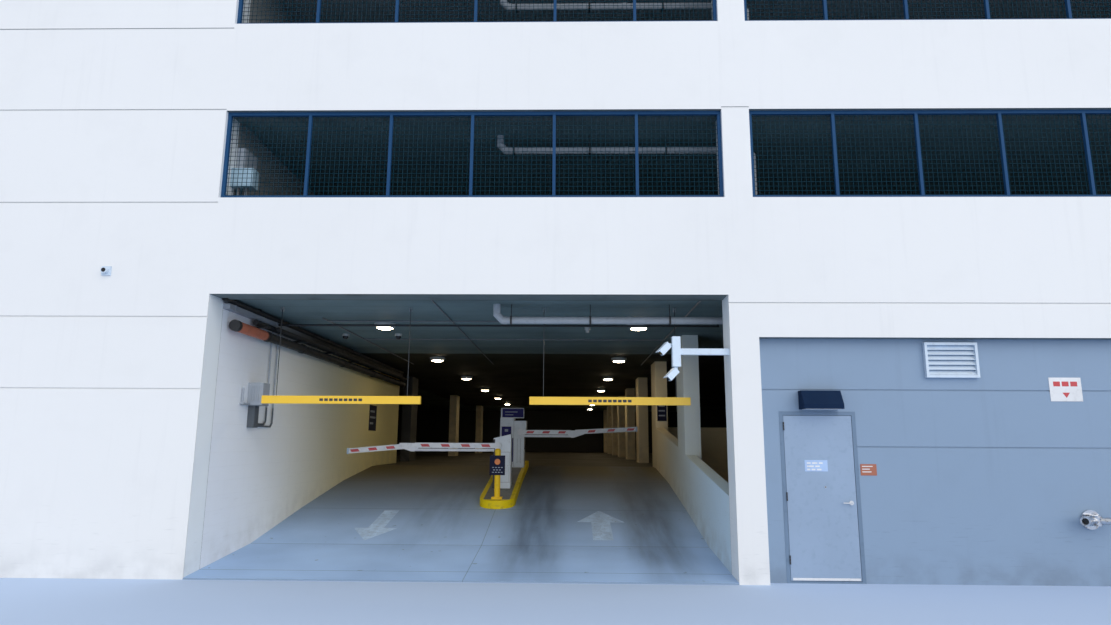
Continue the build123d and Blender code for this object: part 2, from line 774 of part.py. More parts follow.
def make_boom(name, plane, side, inner_length, outer_length, droop):
    """The three moving pieces of one boom: the inner arm with its hub, the link rod and the outer arm."""
    arm_back = -side * boom_thickness / 2
    machine_face = arm_back - side * boom_standoff
    elbow = (inner_length, 0)
    link_foot = (link_offset, -link_offset)
    link_top = (inner_length + link_offset, -link_offset)
    cheek_in = boom_thickness / 2 + cheek_gap
    cheek_out = cheek_in + cheek_thickness

    with BuildPart() as inner_arm:
        flat_arm(plane, (0, 0), elbow, boom_depth, boom_thickness, boom_depth / 2)
        pin(plane, (0, 0), hub_radius, arm_back, machine_face + side * hub_clear, drum_sides)
        pin(plane, (0, 0), boss_radius, -arm_back + side * boss_depth, -arm_back, drum_sides)
        pin(plane, (0, 0), shaft_radius, arm_back, machine_face - side * shaft_seat, pipe_sides)
        pin(plane, elbow, pivot_radius + running_clearance, boom_thickness, -boom_thickness,
            mode=Mode.SUBTRACT)
    write_piece(inner_arm, f"{name}_inner_arm")

    with BuildPart() as link:
        flat_arm(plane, link_foot, link_top, link_depth, link_thickness, link_depth / 2)
        for eye in (link_foot, link_top):
            pin(plane, eye, pivot_radius + running_clearance, link_thickness, -link_thickness,
                mode=Mode.SUBTRACT)
    write_piece(link, f"{name}_link_rod")

    slope = tan(radians(droop))
    start_x = inner_length + link_offset + link_depth / 2 + outer_arm_gap
    start = (start_x, -(start_x - inner_length) * slope)
    tip = (inner_length + outer_length * cos(radians(droop)), -outer_length * sin(radians(droop)))
    cap_start = (tip[0] - boom_cap, tip[1] + boom_cap * slope)
    with BuildPart() as outer_arm:
        flat_arm(plane, start, tip, boom_depth, boom_thickness)
        flat_arm(plane, cap_start, tip, boom_depth + 2 * boom_cap_proud, boom_thickness + 2 * boom_cap_proud)
        for facing in (1, -1):
            with BuildSketch(plane.offset(min(facing * cheek_in, facing * cheek_out))) as cheek_outline:
                with BuildLine():
                    Polyline((inner_length - cheek_back, cheek_half), (start_x + cheek_reach, cheek_half),
                             (start_x + cheek_reach, -cheek_half),
                             (inner_length + link_offset + cheek_back, -cheek_foot),
                             (inner_length + link_offset - cheek_back, -cheek_foot),
                             (inner_length - cheek_back, -cheek_half), close=True)
                make_face()
            extrude(to_extrude=cheek_outline.sketch, amount=cheek_thickness)
            packer_face = min(facing * boom_thickness / 2, facing * cheek_in)
            with BuildSketch(plane.offset(packer_face)) as packer_outline:
                with Locations((start_x + packer_start, start[1])):
                    Rectangle(packer_length, packer_depth)
            extrude(to_extrude=packer_outline.sketch, amount=cheek_gap)
        pin(plane, elbow, pivot_radius, cheek_out, -cheek_out, pipe_sides)
        pin(plane, link_top, pivot_radius, cheek_out, -cheek_out, pipe_sides)
    write_piece(outer_arm, f"{name}_outer_arm")


def machine_pins(plane, side):
    """The socket for the hub's shaft and the link's foot pin, in and on the machine's street face."""
    link_foot = (link_offset, -link_offset)
    machine_face = -side * (boom_thickness / 2 + boom_standoff)
    pin(plane, (0, 0), shaft_radius + running_clearance, machine_face,
        machine_face - side * (shaft_seat + running_clearance), mode=Mode.SUBTRACT)
    pin(plane, link_foot, pivot_radius, side * (link_thickness / 2 + pin_end), machine_face, pipe_sides)
    pin(plane, link_foot, 2 * pivot_radius, -side * (link_thickness / 2 + pin_clear), machine_face,
        pipe_sides)


# Exit machine: a cabinet whose top slants up to the right, with its boom across the left lane
exit_width, exit_depth, exit_height = exit_machine_size
exit_left = island_x - exit_width / 2
exit_right = exit_left + exit_width
exit_pivot = (exit_left + exit_pivot_inset, front_y + exit_machine_y - boom_thickness / 2 - boom_standoff,
              island_top(exit_machine_y) + exit_pivot_rise)
exit_plane = boom_frame(*exit_pivot, -1)
with BuildPart() as exit_machine:
    cabinet([(exit_left, -island_rise), (exit_right, -island_rise),
             (exit_right, exit_height + exit_top_slant), (exit_left, exit_height)], exit_machine_y, exit_depth)
    machine_pins(exit_plane, -1)
write_piece(exit_machine, "exit_machine")
make_boom("exit", exit_plane, -1, exit_inner_length, exit_outer_length, exit_droop)

# Entry kiosk with its sign board and sunk panel and, on its right, the entry machine, which flares towards
# its top and carries the boom across the right lane
kiosk_width, kiosk_depth, kiosk_height = entry_kiosk_size
machine_width, machine_depth, machine_height = entry_machine_size
sign_width, sign_depth, sign_height = kiosk_sign_size
kiosk_left = island_x - (kiosk_width + machine_width) / 2
kiosk_right = kiosk_left + kiosk_width
machine_right = kiosk_right + machine_width
kiosk_top = island_top(entry_machine_y) + kiosk_height
kiosk_front = front_y + entry_machine_y
panel_left, panel_right, panel_low, panel_high = kiosk_panel
with BuildPart() as entry_kiosk:
    cabinet([(kiosk_left, -island_rise), (kiosk_right, -island_rise), (kiosk_right, kiosk_height),
             (kiosk_left, kiosk_height)], entry_machine_y, kiosk_depth)
    block(kiosk_left + panel_left, kiosk_left + panel_right, kiosk_front, kiosk_front + kiosk_panel_depth,
          island_top(entry_machine_y) + panel_low, island_top(entry_machine_y) + panel_high, Mode.SUBTRACT)
    sign_back = kiosk_front + (kiosk_depth + sign_depth) / 2
    block(kiosk_left, kiosk_left + sign_width, sign_back - sign_depth, sign_back,
          kiosk_top, kiosk_top + sign_height)
write_piece(entry_kiosk, "entry_kiosk")

entry_pivot = (machine_right - entry_pivot_inset, kiosk_front - boom_thickness / 2 - boom_standoff,
               island_top(entry_machine_y) + entry_pivot_rise)
entry_plane = boom_frame(*entry_pivot, 1)
with BuildPart() as entry_machine:
    cabinet([(kiosk_right, -island_rise), (machine_right, -island_rise),
             (machine_right, machine_height - 2 * entry_flare_height),
             (machine_right + entry_flare, machine_height - entry_flare_height),
             (machine_right + entry_flare, machine_height), (kiosk_right, machine_height)],
            entry_machine_y, machine_depth)
    machine_pins(entry_plane, 1)
write_piece(entry_machine, "entry_machine")
make_boom("entry", entry_plane, 1, entry_inner_length, entry_outer_length, entry_droop)

# Clearance bars, each hanging by two rods from hooks under the deck
hook_z = level_2_soffit - hook_drop
bar_y_centre = front_y + clearance_bar_setback
bar_top = clearance_bar_bottom + clearance_bar_depth
ear_thickness, ear_width, ear_overrun = hook_ear


def hanger_places(centre):
    """Where the two hangers of a bar are, across the entrance."""
    reach = clearance_bar_length / 2 - hanger_inset
    return entry_x + centre - reach, entry_x + centre + reach


with BuildPart() as bar_hooks:
    for centre in clearance_bar_centres:
        for hook_x in hanger_places(centre):
            for ear_x in (hook_x - hook_ear_spread, hook_x + hook_ear_spread):
                block(ear_x - ear_thickness / 2, ear_x + ear_thickness / 2, bar_y_centre - ear_width / 2,
                      bar_y_centre + ear_width / 2, hook_z - ear_overrun, level_2_soffit)
            bar_x(hook_x - hook_ear_spread - ear_thickness / 2, hook_x + hook_ear_spread + ear_thickness / 2,
                  bar_y_centre, hook_z, hook_pin_radius, rod_sides)
write_piece(bar_hooks, "clearance_bar_hooks")

for bar_name, centre in zip(("exit", "entry"), clearance_bar_centres):
    with BuildPart() as clearance_bar:
        bar_left = entry_x + centre - clearance_bar_length / 2
        block(bar_left, bar_left + clearance_bar_length, bar_y_centre - clearance_bar_thickness / 2,
              bar_y_centre + clearance_bar_thickness / 2, clearance_bar_bottom, bar_top)
        for hook_x in hanger_places(centre):
            eye_left, eye_right = hook_x - hook_eye_width / 2, hook_x + hook_eye_width / 2
            bar_z(hook_x, bar_y_centre, bar_top, hook_z - hook_pin_radius - 2 * running_clearance,
                  hanger_radius, rod_sides)
            bar_x(eye_left, eye_right, bar_y_centre, hook_z, hook_eye_radius, knuckle_sides)
            bar_x(eye_left, eye_right, bar_y_centre, hook_z, hook_pin_radius + running_clearance,
                  mode=Mode.SUBTRACT)
    write_piece(clearance_bar, f"{bar_name}_clearance_bar")

# Ceiling lights in two rows over the lanes, each a shallow drum chamfered down to its lens
with BuildPart() as ceiling_lights:
    with BuildSketch(Plane.XY.offset(level_2_soffit)):
        for row in range(light_rows):
            for light_x in light_columns:
                with Locations((entry_x + light_x, front_y + light_first + row * light_pitch)):
                    RegularPolygon(light_radius, pipe_sides)
    extrude(amount=-light_depth)
    chamfer(ceiling_lights.faces().group_by(Axis.Z)[0].edges(), light_chamfer)
write_piece(ceiling_lights, "ceiling_lights")


def pipe_run(path, radius, sides):
    """A pipe with flat sides along a path whose corners are already cut."""
    with BuildSketch(Plane(origin=path.line @ 0, z_dir=path.line % 0)) as section:
        RegularPolygon(radius, sides)
    sweep(sections=section.sketch, path=path.line, transition=Transition.RIGHT)


def cut_corner(before, corner, after, bend):
    """Two points that cut a square corner of a pipe, as a pair of elbows does."""
    corner = Vector(*corner)
    return [corner + (Vector(*side) - corner).normalized() * bend for side in (before, after)]


# Drain pipes, one under each deck: down from the deck, across the right lane and down behind the pier
drain_y = front_y + drain_setback
drain_floors = [service_floor_top, *(level_2_top + storey * storey_height
                                     for storey in range(window_storeys))]
drain_levels = []
with BuildPart() as drain_pipe:
    for drain_number, (floor, drop) in enumerate(zip(drain_floors, drain_drops)):
        soffit = level_2_soffit + drain_number * storey_height
        drain_levels.append((soffit, soffit - drop))
        corners = [(entry_x + place, drain_y, height) for place, height in
                   ((drain_start, soffit), (drain_start, soffit - drop), (drain_end, soffit - drop),
                    (drain_end, floor))]
        with BuildLine() as drain_path:
            Polyline(corners[0], *cut_corner(*corners[:3], drain_bend),
                     *cut_corner(*corners[1:], drain_bend), corners[3])
        pipe_run(drain_path, drain_radius, pipe_sides)
write_piece(drain_pipe, "drain_pipe")

# Sprinkler pipe across both lanes, with an elbow up into the deck at its far end, and the black stirrups
# that carry the drain pipes from the decks
sprinkler_y = front_y + sprinkler_setback
sprinkler_end = entry_right + sprinkler_overrun
with BuildPart() as sprinkler_pipe:
    with BuildLine() as sprinkler_path:
        Polyline((entry_x, sprinkler_y, sprinkler_height), (sprinkler_end, sprinkler_y, sprinkler_height),
                 (sprinkler_end, sprinkler_y, level_2_soffit))
    pipe_run(sprinkler_path, sprinkler_radius, knuckle_sides)
    stirrup_inside = drain_radius + running_clearance
    stirrup_outside = stirrup_inside + stirrup_plate
    for soffit, drain_z in drain_levels:
        for place in stirrup_places:
            stirrup_x = entry_x + place
            with BuildSketch(Plane.YZ.offset(stirrup_x - stirrup_width / 2)) as stirrup:
                with Locations((drain_y, drain_z)):
                    Rectangle(2 * stirrup_outside, 2 * stirrup_outside)
                    Rectangle(2 * stirrup_inside, 2 * stirrup_inside, mode=Mode.SUBTRACT)
            extrude(to_extrude=stirrup.sketch, amount=stirrup_width)
            block(stirrup_x - stirrup_rod / 2, stirrup_x + stirrup_rod / 2, drain_y - stirrup_rod / 2,
                  drain_y + stirrup_rod / 2, drain_z + stirrup_outside, soffit)
write_piece(sprinkler_pipe, "sprinkler_pipe")

# Fire main along the lane wall, on brackets
main_x = entry_x + fire_main_standoff
with BuildPart() as fire_main:
    with BuildLine() as main_path:
        Line((main_x, front_y + fire_main_start, fire_main_height),
             (main_x, front_y + fire_main_end, fire_main_height))
    pipe_run(main_path, fire_main_radius, pipe_sides)
    for number in range(main_bracket_count):
        bracket_y = front_y + fire_main_start + main_bracket_first + number * main_bracket_pitch
        block(entry_x, main_x, bracket_y - main_bracket_size / 2, bracket_y + main_bracket_size / 2,
              fire_main_height - main_bracket_size / 2, fire_main_height + main_bracket_size / 2)
write_piece(fire_main, "fire_main")

# Camera arm on the pier's reveal, and its two hooded cameras that look down into the left lane
arm_y = front_y + camera_arm_setback
arm_half = camera_arm_size / 2
post_half = camera_post_size / 2
post_x = entry_right - camera_arm_reach - post_half
post_bottom = camera_arm_height - camera_post_length / 2
with BuildPart() as camera_arm:
    block(entry_right - camera_arm_reach, entry_right, arm_y - arm_half, arm_y + arm_half,
          camera_arm_height - arm_half, camera_arm_height + arm_half)
    block(post_x - post_half, post_x + post_half, arm_y - post_half, arm_y + post_half,
          post_bottom, post_bottom + camera_post_length)
write_piece(camera_arm, "camera_arm")


def hooded_camera(tail):
    """A square camera body that points along the cameras' tilt, under its sun hood."""
    body = Plane(origin=tail, x_dir=(camera_tilt[1], -camera_tilt[0], 0), z_dir=camera_tilt)
    with BuildSketch(body) as outline:
        Rectangle(camera_body[0], camera_body[1])
    extrude(to_extrude=outline.sketch, amount=camera_body[2])
    with BuildSketch(body) as hood:
        with Locations((0, -(camera_body[1] + camera_hood[1]) / 2)):
            Rectangle(camera_hood[0], camera_hood[1])
    extrude(to_extrude=hood.sketch, amount=camera_hood[2])


with BuildPart() as cameras:
    upper_z = camera_arm_height + upper_camera_rise
    bar_x(post_x - post_half - camera_gap, post_x - post_half, arm_y, upper_z, camera_knuckle, rod_sides)
    hooded_camera((post_x - post_half - camera_gap, arm_y, upper_z))
    bar_z(post_x, arm_y, post_bottom - camera_gap, post_bottom, camera_knuckle, rod_sides)
    hooded_camera((post_x, arm_y, post_bottom - camera_gap))
write_piece(cameras, "cameras")

# Small camera on the blank wall: a square plate with a short round housing
with BuildPart() as wall_camera:
    camera_x = entry_x - wall_camera_from_entry
    block(camera_x - wall_camera_plate / 2, camera_x + wall_camera_plate / 2,
          front_y - wall_camera_plate_depth, front_y,
          wall_camera_height - wall_camera_plate / 2, wall_camera_height + wall_camera_plate / 2)
    bar_y(camera_x, front_y - wall_camera_plate_depth - wall_camera_depth, front_y - wall_camera_plate_depth,
          wall_camera_height, wall_camera_radius, drum_sides)
write_piece(wall_camera, "wall_camera")

# Wall lamp over the service door, with a sloping front
lamp_middle = door_middle + lamp_from_door
lamp_top = lamp_bottom + lamp_height
with BuildPart() as wall_lamp:
    side_profile([(recess_y, lamp_top), (recess_y - lamp_top_depth, lamp_top),
                  (recess_y - lamp_depth, lamp_bottom + lamp_lip), (recess_y - lamp_depth, lamp_bottom),
                  (recess_y, lamp_bottom)], lamp_middle - lamp_width / 2, lamp_middle + lamp_width / 2)
write_piece(wall_lamp, "wall_lamp")

# Louvre on the service wall: a frame with sloping blades
louvre_left = pier_right + louvre_from_pier
louvre_width, louvre_height = louvre_size
blade_pitch = (louvre_height - 2 * louvre_frame) / louvre_blades
with BuildPart() as louvre:
    louvre_plane = Plane(origin=(louvre_left, recess_y, louvre_bottom), x_dir=(1, 0, 0), z_dir=(0, -1, 0))
    with BuildSketch(louvre_plane):
        Rectangle(louvre_width, louvre_height, align=Align.MIN)
        offset(amount=-louvre_frame, mode=Mode.SUBTRACT)
    extrude(amount=louvre_depth)
    for number in range(louvre_blades):
        blade_low = louvre_bottom + louvre_frame + number * blade_pitch + blade_thickness / 2
        blade_high = blade_low + blade_pitch - 2 * blade_thickness
        side_profile([(recess_y, blade_high), (recess_y - blade_reach, blade_low),
                      (recess_y - blade_reach, blade_low + blade_thickness),
                      (recess_y, blade_high + blade_thickness)],
                     louvre_left + louvre_frame, louvre_left + louvre_width - louvre_frame)
write_piece(louvre, "louvre")

# Fire inlet: a wall flange and stem, a round body, and two branches that splay out to swivel inlets
inlet_x = pier_right + inlet_from_pier
splay = radians(inlet_splay)
inlet_body_y = recess_y - inlet_reach + inlet_branch_length * cos(splay) + inlet_swivel[0] * sin(splay)


def inlet_branch(side, start, end, radius, mode=Mode.ADD):
    """A length of one branch, measured along it from the body's middle."""
    branch = Plane(origin=(inlet_x, inlet_body_y, inlet_height), z_dir=(side * sin(splay), -cos(splay), 0))
    with BuildSketch(branch.offset(start)) as section:
        round_outline(radius, pipe_sides)
    extrude(to_extrude=section.sketch, amount=end - start, mode=mode)


with BuildPart() as fire_inlet:
    bar_y(inlet_x, recess_y - inlet_flange[1], recess_y, inlet_height, inlet_flange[0], drum_sides)
    bar_y(inlet_x, inlet_body_y, recess_y, inlet_height, inlet_stem_radius, pipe_sides)
    bar_z(inlet_x, inlet_body_y, inlet_height - inlet_body_radius, inlet_height + inlet_body_radius,
          inlet_body_radius, pipe_sides)
    for side in (-1, 1):
        inlet_branch(side, 0, inlet_branch_length, inlet_branch_radius)
        inlet_branch(side, inlet_branch_length - inlet_swivel[1], inlet_branch_length, inlet_swivel[0])
    inlet_branch(-1, inlet_branch_length - inlet_bore[1], inlet_branch_length, inlet_bore[0], Mode.SUBTRACT)
write_piece(fire_inlet, "fire_inlet")

# Electrical boxes on the lane wall: a large box over a small one, two conduits that leave the small box and
# climb to the deck, a sensor tube on its bracket, and one more box behind the second storey's window
box_y = front_y + box_setback
box_reach, box_length, box_height = box_size
small_reach, small_length, small_height = small_box_size
small_y = box_y + small_box_offset
small_bottom = box_bottom - small_height
bracket_reach, bracket_length, bracket_height = sensor_bracket
bracket_y = box_y + box_length - bracket_length - sensor_inset
with BuildPart() as electrical_boxes:
    block(entry_x, entry_x + box_reach, box_y, box_y + box_length, box_bottom, box_bottom + box_height)
    block(entry_x, entry_x + small_reach, small_y, small_y + small_length, small_bottom, box_bottom)
    for place, rise in zip(conduit_places, conduit_rises):
        conduit_x = entry_x + conduit_standoff
        corners = ((conduit_x, small_y + small_length, small_bottom + rise),
                   (conduit_x, front_y + place, small_bottom + rise),
                   (conduit_x, front_y + place, level_2_soffit))
        with BuildLine() as conduit_path:
            Polyline(corners[0], *cut_corner(*corners, conduit_bend), corners[2])
        pipe_run(conduit_path, conduit_radius, rod_sides)
    block(entry_x, entry_x + bracket_reach, bracket_y, box_y, box_bottom, box_bottom + bracket_height)
    bar_z(entry_x + bracket_reach / 2, bracket_y + bracket_reach / 2, box_bottom + bracket_height,
          box_bottom + bracket_height + sensor_tube[1], sensor_tube[0], rod_sides)
    block(entry_x, entry_x + upper_box[0], front_y + upper_box_setback,
          front_y + upper_box_setback + upper_box[1], sill_height + upper_box_rise,
          sill_height + upper_box_rise + upper_box[2])
write_piece(electrical_boxes, "electrical_boxes")
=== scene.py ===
"""Multi storey car park: the finishes, window wires, floor paint, signs and small fittings of the building.

Metres, +Z up, the street side faces -Y. The sections follow the building as it is put together: walls,
decks and ramp, windows, service door, traffic island with its barriers, then the fittings on the walls.
"""

from math import cos, radians, sin, tan

import bmesh
import bpy
from mathutils import Matrix, Vector


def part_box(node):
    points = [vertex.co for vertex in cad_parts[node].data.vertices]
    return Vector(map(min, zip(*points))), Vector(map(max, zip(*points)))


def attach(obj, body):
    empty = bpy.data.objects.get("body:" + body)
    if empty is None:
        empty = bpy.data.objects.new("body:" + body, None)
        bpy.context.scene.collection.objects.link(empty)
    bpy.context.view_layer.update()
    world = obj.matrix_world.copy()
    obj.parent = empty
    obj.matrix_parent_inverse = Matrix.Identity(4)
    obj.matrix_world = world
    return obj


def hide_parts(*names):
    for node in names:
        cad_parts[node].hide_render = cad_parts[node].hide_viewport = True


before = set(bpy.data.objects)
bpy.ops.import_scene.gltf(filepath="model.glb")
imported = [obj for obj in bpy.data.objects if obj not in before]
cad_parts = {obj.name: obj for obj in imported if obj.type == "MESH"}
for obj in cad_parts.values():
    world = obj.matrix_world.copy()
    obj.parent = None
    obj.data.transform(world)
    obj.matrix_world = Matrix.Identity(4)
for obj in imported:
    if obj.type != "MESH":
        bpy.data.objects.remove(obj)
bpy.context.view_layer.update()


# White walls: cast concrete panels, floated smooth and rolled with white masonry paint, with score lines
# between the pours. Rain leaves faint runs below the sills, and the street splashes grime on their foot.
class Shade:
    """A socket of a material. Sums, differences and products of sockets add Math nodes."""

    def __init__(self, tree, socket):
        self.tree, self.socket = tree, socket

    def node(self, kind, settings, sockets, output=0):
        """Add a node: its settings first, then the values or links of its sockets."""
        made = self.tree.nodes.new(kind)
        for name, value in settings.items():
            setattr(made, name, value)
        for name, value in sockets.items():
            if isinstance(value, Shade):
                self.tree.links.new(value.socket, made.inputs[name])
            else:
                made.inputs[name].default_value = value
        return Shade(self.tree, made.outputs[output])

    def math(self, operation, first, second=0):
        """Add a Math node."""
        return self.node("ShaderNodeMath", {"operation": operation}, {0: first, 1: second})

    def __add__(self, other):
        return self.math("ADD", self, other)

    def __sub__(self, other):
        return self.math("SUBTRACT", self, other)

    def __rsub__(self, other):
        return self.math("SUBTRACT", other, self)

    def __mul__(self, other):
        return self.math("MULTIPLY", self, other)

    __radd__ = __add__
    __rmul__ = __mul__

    def axis(self, number):
        """One coordinate of a place: 0 for x, 1 for y, 2 for z."""
        return self.node("ShaderNodeSeparateXYZ", {}, {0: self}, number)

    def facing(self, number):
        """One coordinate of the direction that the surface faces, from -1 to 1."""
        return self.node("ShaderNodeNewGeometry", {}, {}, "Normal").axis(number)

    def stretched(self, factors):
        """The place, multiplied axis by axis."""
        return self.node("ShaderNodeVectorMath", {"operation": "MULTIPLY"}, {0: self, 1: factors})

    def noise(self, scale, detail=3):
        """Soft noise about 0.5 with features of 1 / scale metres."""
        return self.node("ShaderNodeTexNoise", {}, {"Vector": self, "Scale": scale, "Detail": detail})

    def fade(self, start, end):
        """A mask that turns softly from 0 at start to 1 at end."""
        return self.node("ShaderNodeMapRange", {"interpolation_type": "SMOOTHSTEP"},
                         {"Value": self, "From Min": start, "From Max": end})

    def near(self, centre, half_width, softness):
        """A mask that is 1 within half_width of a centre and 0 beyond the soft edge."""
        return self.math("ABSOLUTE", self - centre).fade(half_width + softness, half_width)

    def blend(self, first, second):
        """Two colours blended by this mask: first where it is 0, second where it is 1."""
        first, second = (colour if isinstance(colour, Shade) else (*colour, 1) for colour in (first, second))
        return self.node("ShaderNodeMix", {"data_type": "RGBA"}, {0: self, 6: first, 7: second}, 2)

    def drive(self, socket):
        """Link this value to a socket of the material's shader."""
        self.tree.links.new(self.socket, self.tree.nodes["Principled BSDF"].inputs[socket])

    def coat(self, first, second):
        """Colour the surface with two colours, blended by this mask."""
        self.blend(first, second).drive("Base Color")

    def dull(self, spread, base):
        """Give the surface a roughness that spreads upwards from a base with this mask."""
        (self * spread + base).drive("Roughness")

    def raise_surface(self, distance):
        """Use this height, times a distance in metres, as the surface's relief."""
        self.node("ShaderNodeBump", {}, {"Distance": distance, "Height": self}).drive("Normal")


def new_finish(name, **values):
    """A new material with its plain shader values; returns it with the place on the surface in metres."""
    material = bpy.data.materials.new(name)
    material.use_nodes = True
    tree = material.node_tree
    for socket, value in values.items():
        tree.nodes["Principled BSDF"].inputs[socket.replace("_", " ")].default_value = value
    return material, Shade(tree, None).node("ShaderNodeTexCoord", {}, {}, "Object")


def give(material, *names):
    """Put a finish on nodes of the building."""
    for name in names:
        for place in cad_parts[name].material_slots:
            place.material = material


def wall_depth(place):
    """How far a point lies behind the outer face of the building's walls."""
    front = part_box("front_piers")[0].y
    outer_low, outer_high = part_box("outer_spandrels")
    depth = place.axis(1) - front
    for other in (outer_high.y - place.axis(1), place.axis(0) - outer_low.x, outer_high.x - place.axis(0)):
        depth = place.math("MINIMUM", depth, other)
    return depth


upstairs_z = 4.2
block_length, course_height, mortar_width = 0.406, 0.203, 0.006


def masonry_paint(name, colour, grime, dirt, foot_start=0, foot_climb=0, lamp_warmed=None, paint_depth=None,
                  block_laid=False, shaded_place=None, reveal_shade=None):
    """Roller-painted concrete: mottled tone, faint rain runs, a grimy foot and a fine orange-peel grain.

    Soffits are painted darker as shade, and all that lies deeper than a paint depth is bare concrete in a
    dark tone that also stands for the shade inside: near black on the ground storey as painted shade, and
    paler inside the parapet, out in the open. Deeper in, a warmer colour takes over that stands for the warm
    light of the ceiling lamps, and a dark grey above it is painted shade upstairs. What stands within reach
    of a shaded place is painted black as shade. The sides of the openings may take a cooler colour of their
    own, painted shade in the reveals.
    """
    material, place = new_finish(name, Specular_IOR_Level=0.35)
    mottle = place.noise(0.35, 4).fade(0.35, 0.7)
    patches = place.noise(1.9, 5).fade(0.52, 0.72)
    runs = place.stretched((5, 5, 0.22)).noise(2.2, 4).fade(0.56, 0.8)
    foot = place.axis(2) - (place.axis(1) - foot_start) * foot_climb
    splash = foot.fade(0.55, 0.0) * place.noise(3.5, 5).fade(0.3, 0.75)
    scuffs = foot.near(0.45, 0.25, 0.35) * place.stretched((1, 1, 9)).noise(4, 4).fade(0.6, 0.75)
    soiling = mottle * 0.1 + patches * 0.08 + runs * 0.16 + splash * 0.9 + scuffs * 0.4
    relief = place.noise(95) * 0.5 + place.noise(9) * 0.5
    if block_laid:
        courses = place.node("ShaderNodeCombineXYZ", {}, {0: place.axis(1), 1: place.axis(2)})
        mortar = place.node("ShaderNodeTexBrick", {}, {
            "Vector": courses, "Scale": 1.0, "Mortar Size": mortar_width, "Mortar Smooth": 0.5,
            "Brick Width": block_length, "Row Height": course_height}, 1)
        soiling = soiling + mortar * (place.noise(0.7) * 0.35)
        relief = relief - mortar * 0.4
    if lamp_warmed:
        # Deeper in, the paint turns to a warmer colour that stands for the warm light of the ceiling lamps:
        # painted light.
        warm_lamplight = (place.axis(1) - foot_start).fade(0.6, 9.5)
        # Above the storey line the lane wall is painted dark grey: painted shade upstairs.
        upstairs = place.axis(2).fade(upstairs_z, upstairs_z + 0.2)
        colour = upstairs.blend(warm_lamplight.blend(colour, lamp_warmed), (0.26, 0.27, 0.265))
    # Around a shaded place the paint is painted near black: painted shade.
    if shaded_place:
        column_x, column_y, reach = shaded_place
        column = place.axis(0).near(column_x, reach, 0.1) * place.axis(1).near(column_y, reach, 0.1)
        colour = column.blend(colour, (0.05, 0.05, 0.045))
    # The sides of the openings take a cooler, bluer white: painted shade in the reveals.
    if reveal_shade:
        sideways = place.math("ABSOLUTE", place.facing(0)).fade(0.5, 0.7)
        colour = (sideways * wall_depth(place).fade(0.0, 0.03)).blend(colour, reveal_shade)
    surface = (soiling * dirt).blend(colour, grime)
    # Soffits are painted darker as shade. Faces deep inside are bare concrete in a dark tone, which is partly
    # real and partly painted shade, and near black on the ground storey as painted shade.
    if paint_depth:
        depth = wall_depth(place)
        shaded_soffit = place.facing(2).fade(-0.5, -0.7)
        bare_and_shaded = (shaded_soffit + depth.fade(paint_depth, paint_depth + 0.01)).fade(0.0, 1.0)
        concrete = patches.blend((0.15, 0.185, 0.19), (0.1, 0.125, 0.13))
        ground_storey_shade = place.axis(2).fade(upstairs_z - 0.1, upstairs_z - 0.3) * depth.fade(0.4, 0.42)
        concrete = ground_storey_shade.blend(concrete, (0.04, 0.038, 0.03))
        roof_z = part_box("level_4_deck")[1].z
        parapet = patches.blend((0.46, 0.48, 0.49), (0.36, 0.375, 0.38))
        concrete = place.axis(2).fade(roof_z - 0.02, roof_z).blend(concrete, parapet)
        surface = bare_and_shaded.blend(surface, concrete)
    surface.drive("Base Color")
    (place.noise(6) * 0.12 + soiling * 0.08 + 0.52).drive("Roughness")
    relief.raise_surface(0.0022)
    return material


fresh_white, street_grime = (0.84, 0.842, 0.84), (0.36, 0.37, 0.38)
give(masonry_paint("wall_white", fresh_white, street_grime, dirt=0.32, paint_depth=0.42,
                   reveal_shade=(0.92, 0.97, 1.0)), "blank_wall", "front_piers", "outer_piers")
give(masonry_paint("banded_white", fresh_white, street_grime, dirt=0.32, paint_depth=0.12),
     "front_spandrels", "outer_spandrels")

# Recessed walls of the service side and of the closed bays: the same concrete, painted a cool blue grey.
# The paint is older here and takes more of the dirt.
give(masonry_paint("wall_grey", (0.25, 0.345, 0.475), (0.13, 0.16, 0.2), dirt=0.42, paint_depth=0.42),
     "service_wall", "door_head_wall", "outer_base_walls")

# Walls and blade columns beside the lanes: white paint, tinted blue near the street as painted shade and
# yellower deeper in as painted warm lamplight, with bumper scuffs that climb with the ramp. The long wall is
# laid in concrete blocks and painted dark upstairs as shade, and one column deep in is painted black as
# shade.
ramp_low, ramp_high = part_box("entrance_ramp")
ramp_climb = (ramp_high.z - ramp_low.z) / (ramp_high.y - ramp_low.y)
# A column deep in the lane that lies in darkness, painted black as shade.
shaded_column = (ramp_low.x - 0.15, ramp_low.y + 13.69, 0.6)
give(masonry_paint("lane_blocks", (0.9, 0.94, 1.0), (0.36, 0.35, 0.3), dirt=0.24, foot_start=ramp_low.y,
                   foot_climb=ramp_climb, lamp_warmed=(1.0, 0.87, 0.4), block_laid=True), "lane_wall")
give(masonry_paint("lane_white", (0.69, 0.87, 1.0), (0.3, 0.28, 0.22), dirt=0.35, foot_start=ramp_low.y,
                   foot_climb=ramp_climb, lamp_warmed=(0.85, 0.72, 0.46), shaded_place=shaded_column),
     "low_walls", "ground_columns")

# Parking decks and upper columns: bare concrete cast against boards, with the joints of the formwork and
# damp stains. The dark tone of the decks is painted shade, and soffits deep inside are painted near black as
# shade.
board_joint_pitch = 1.2


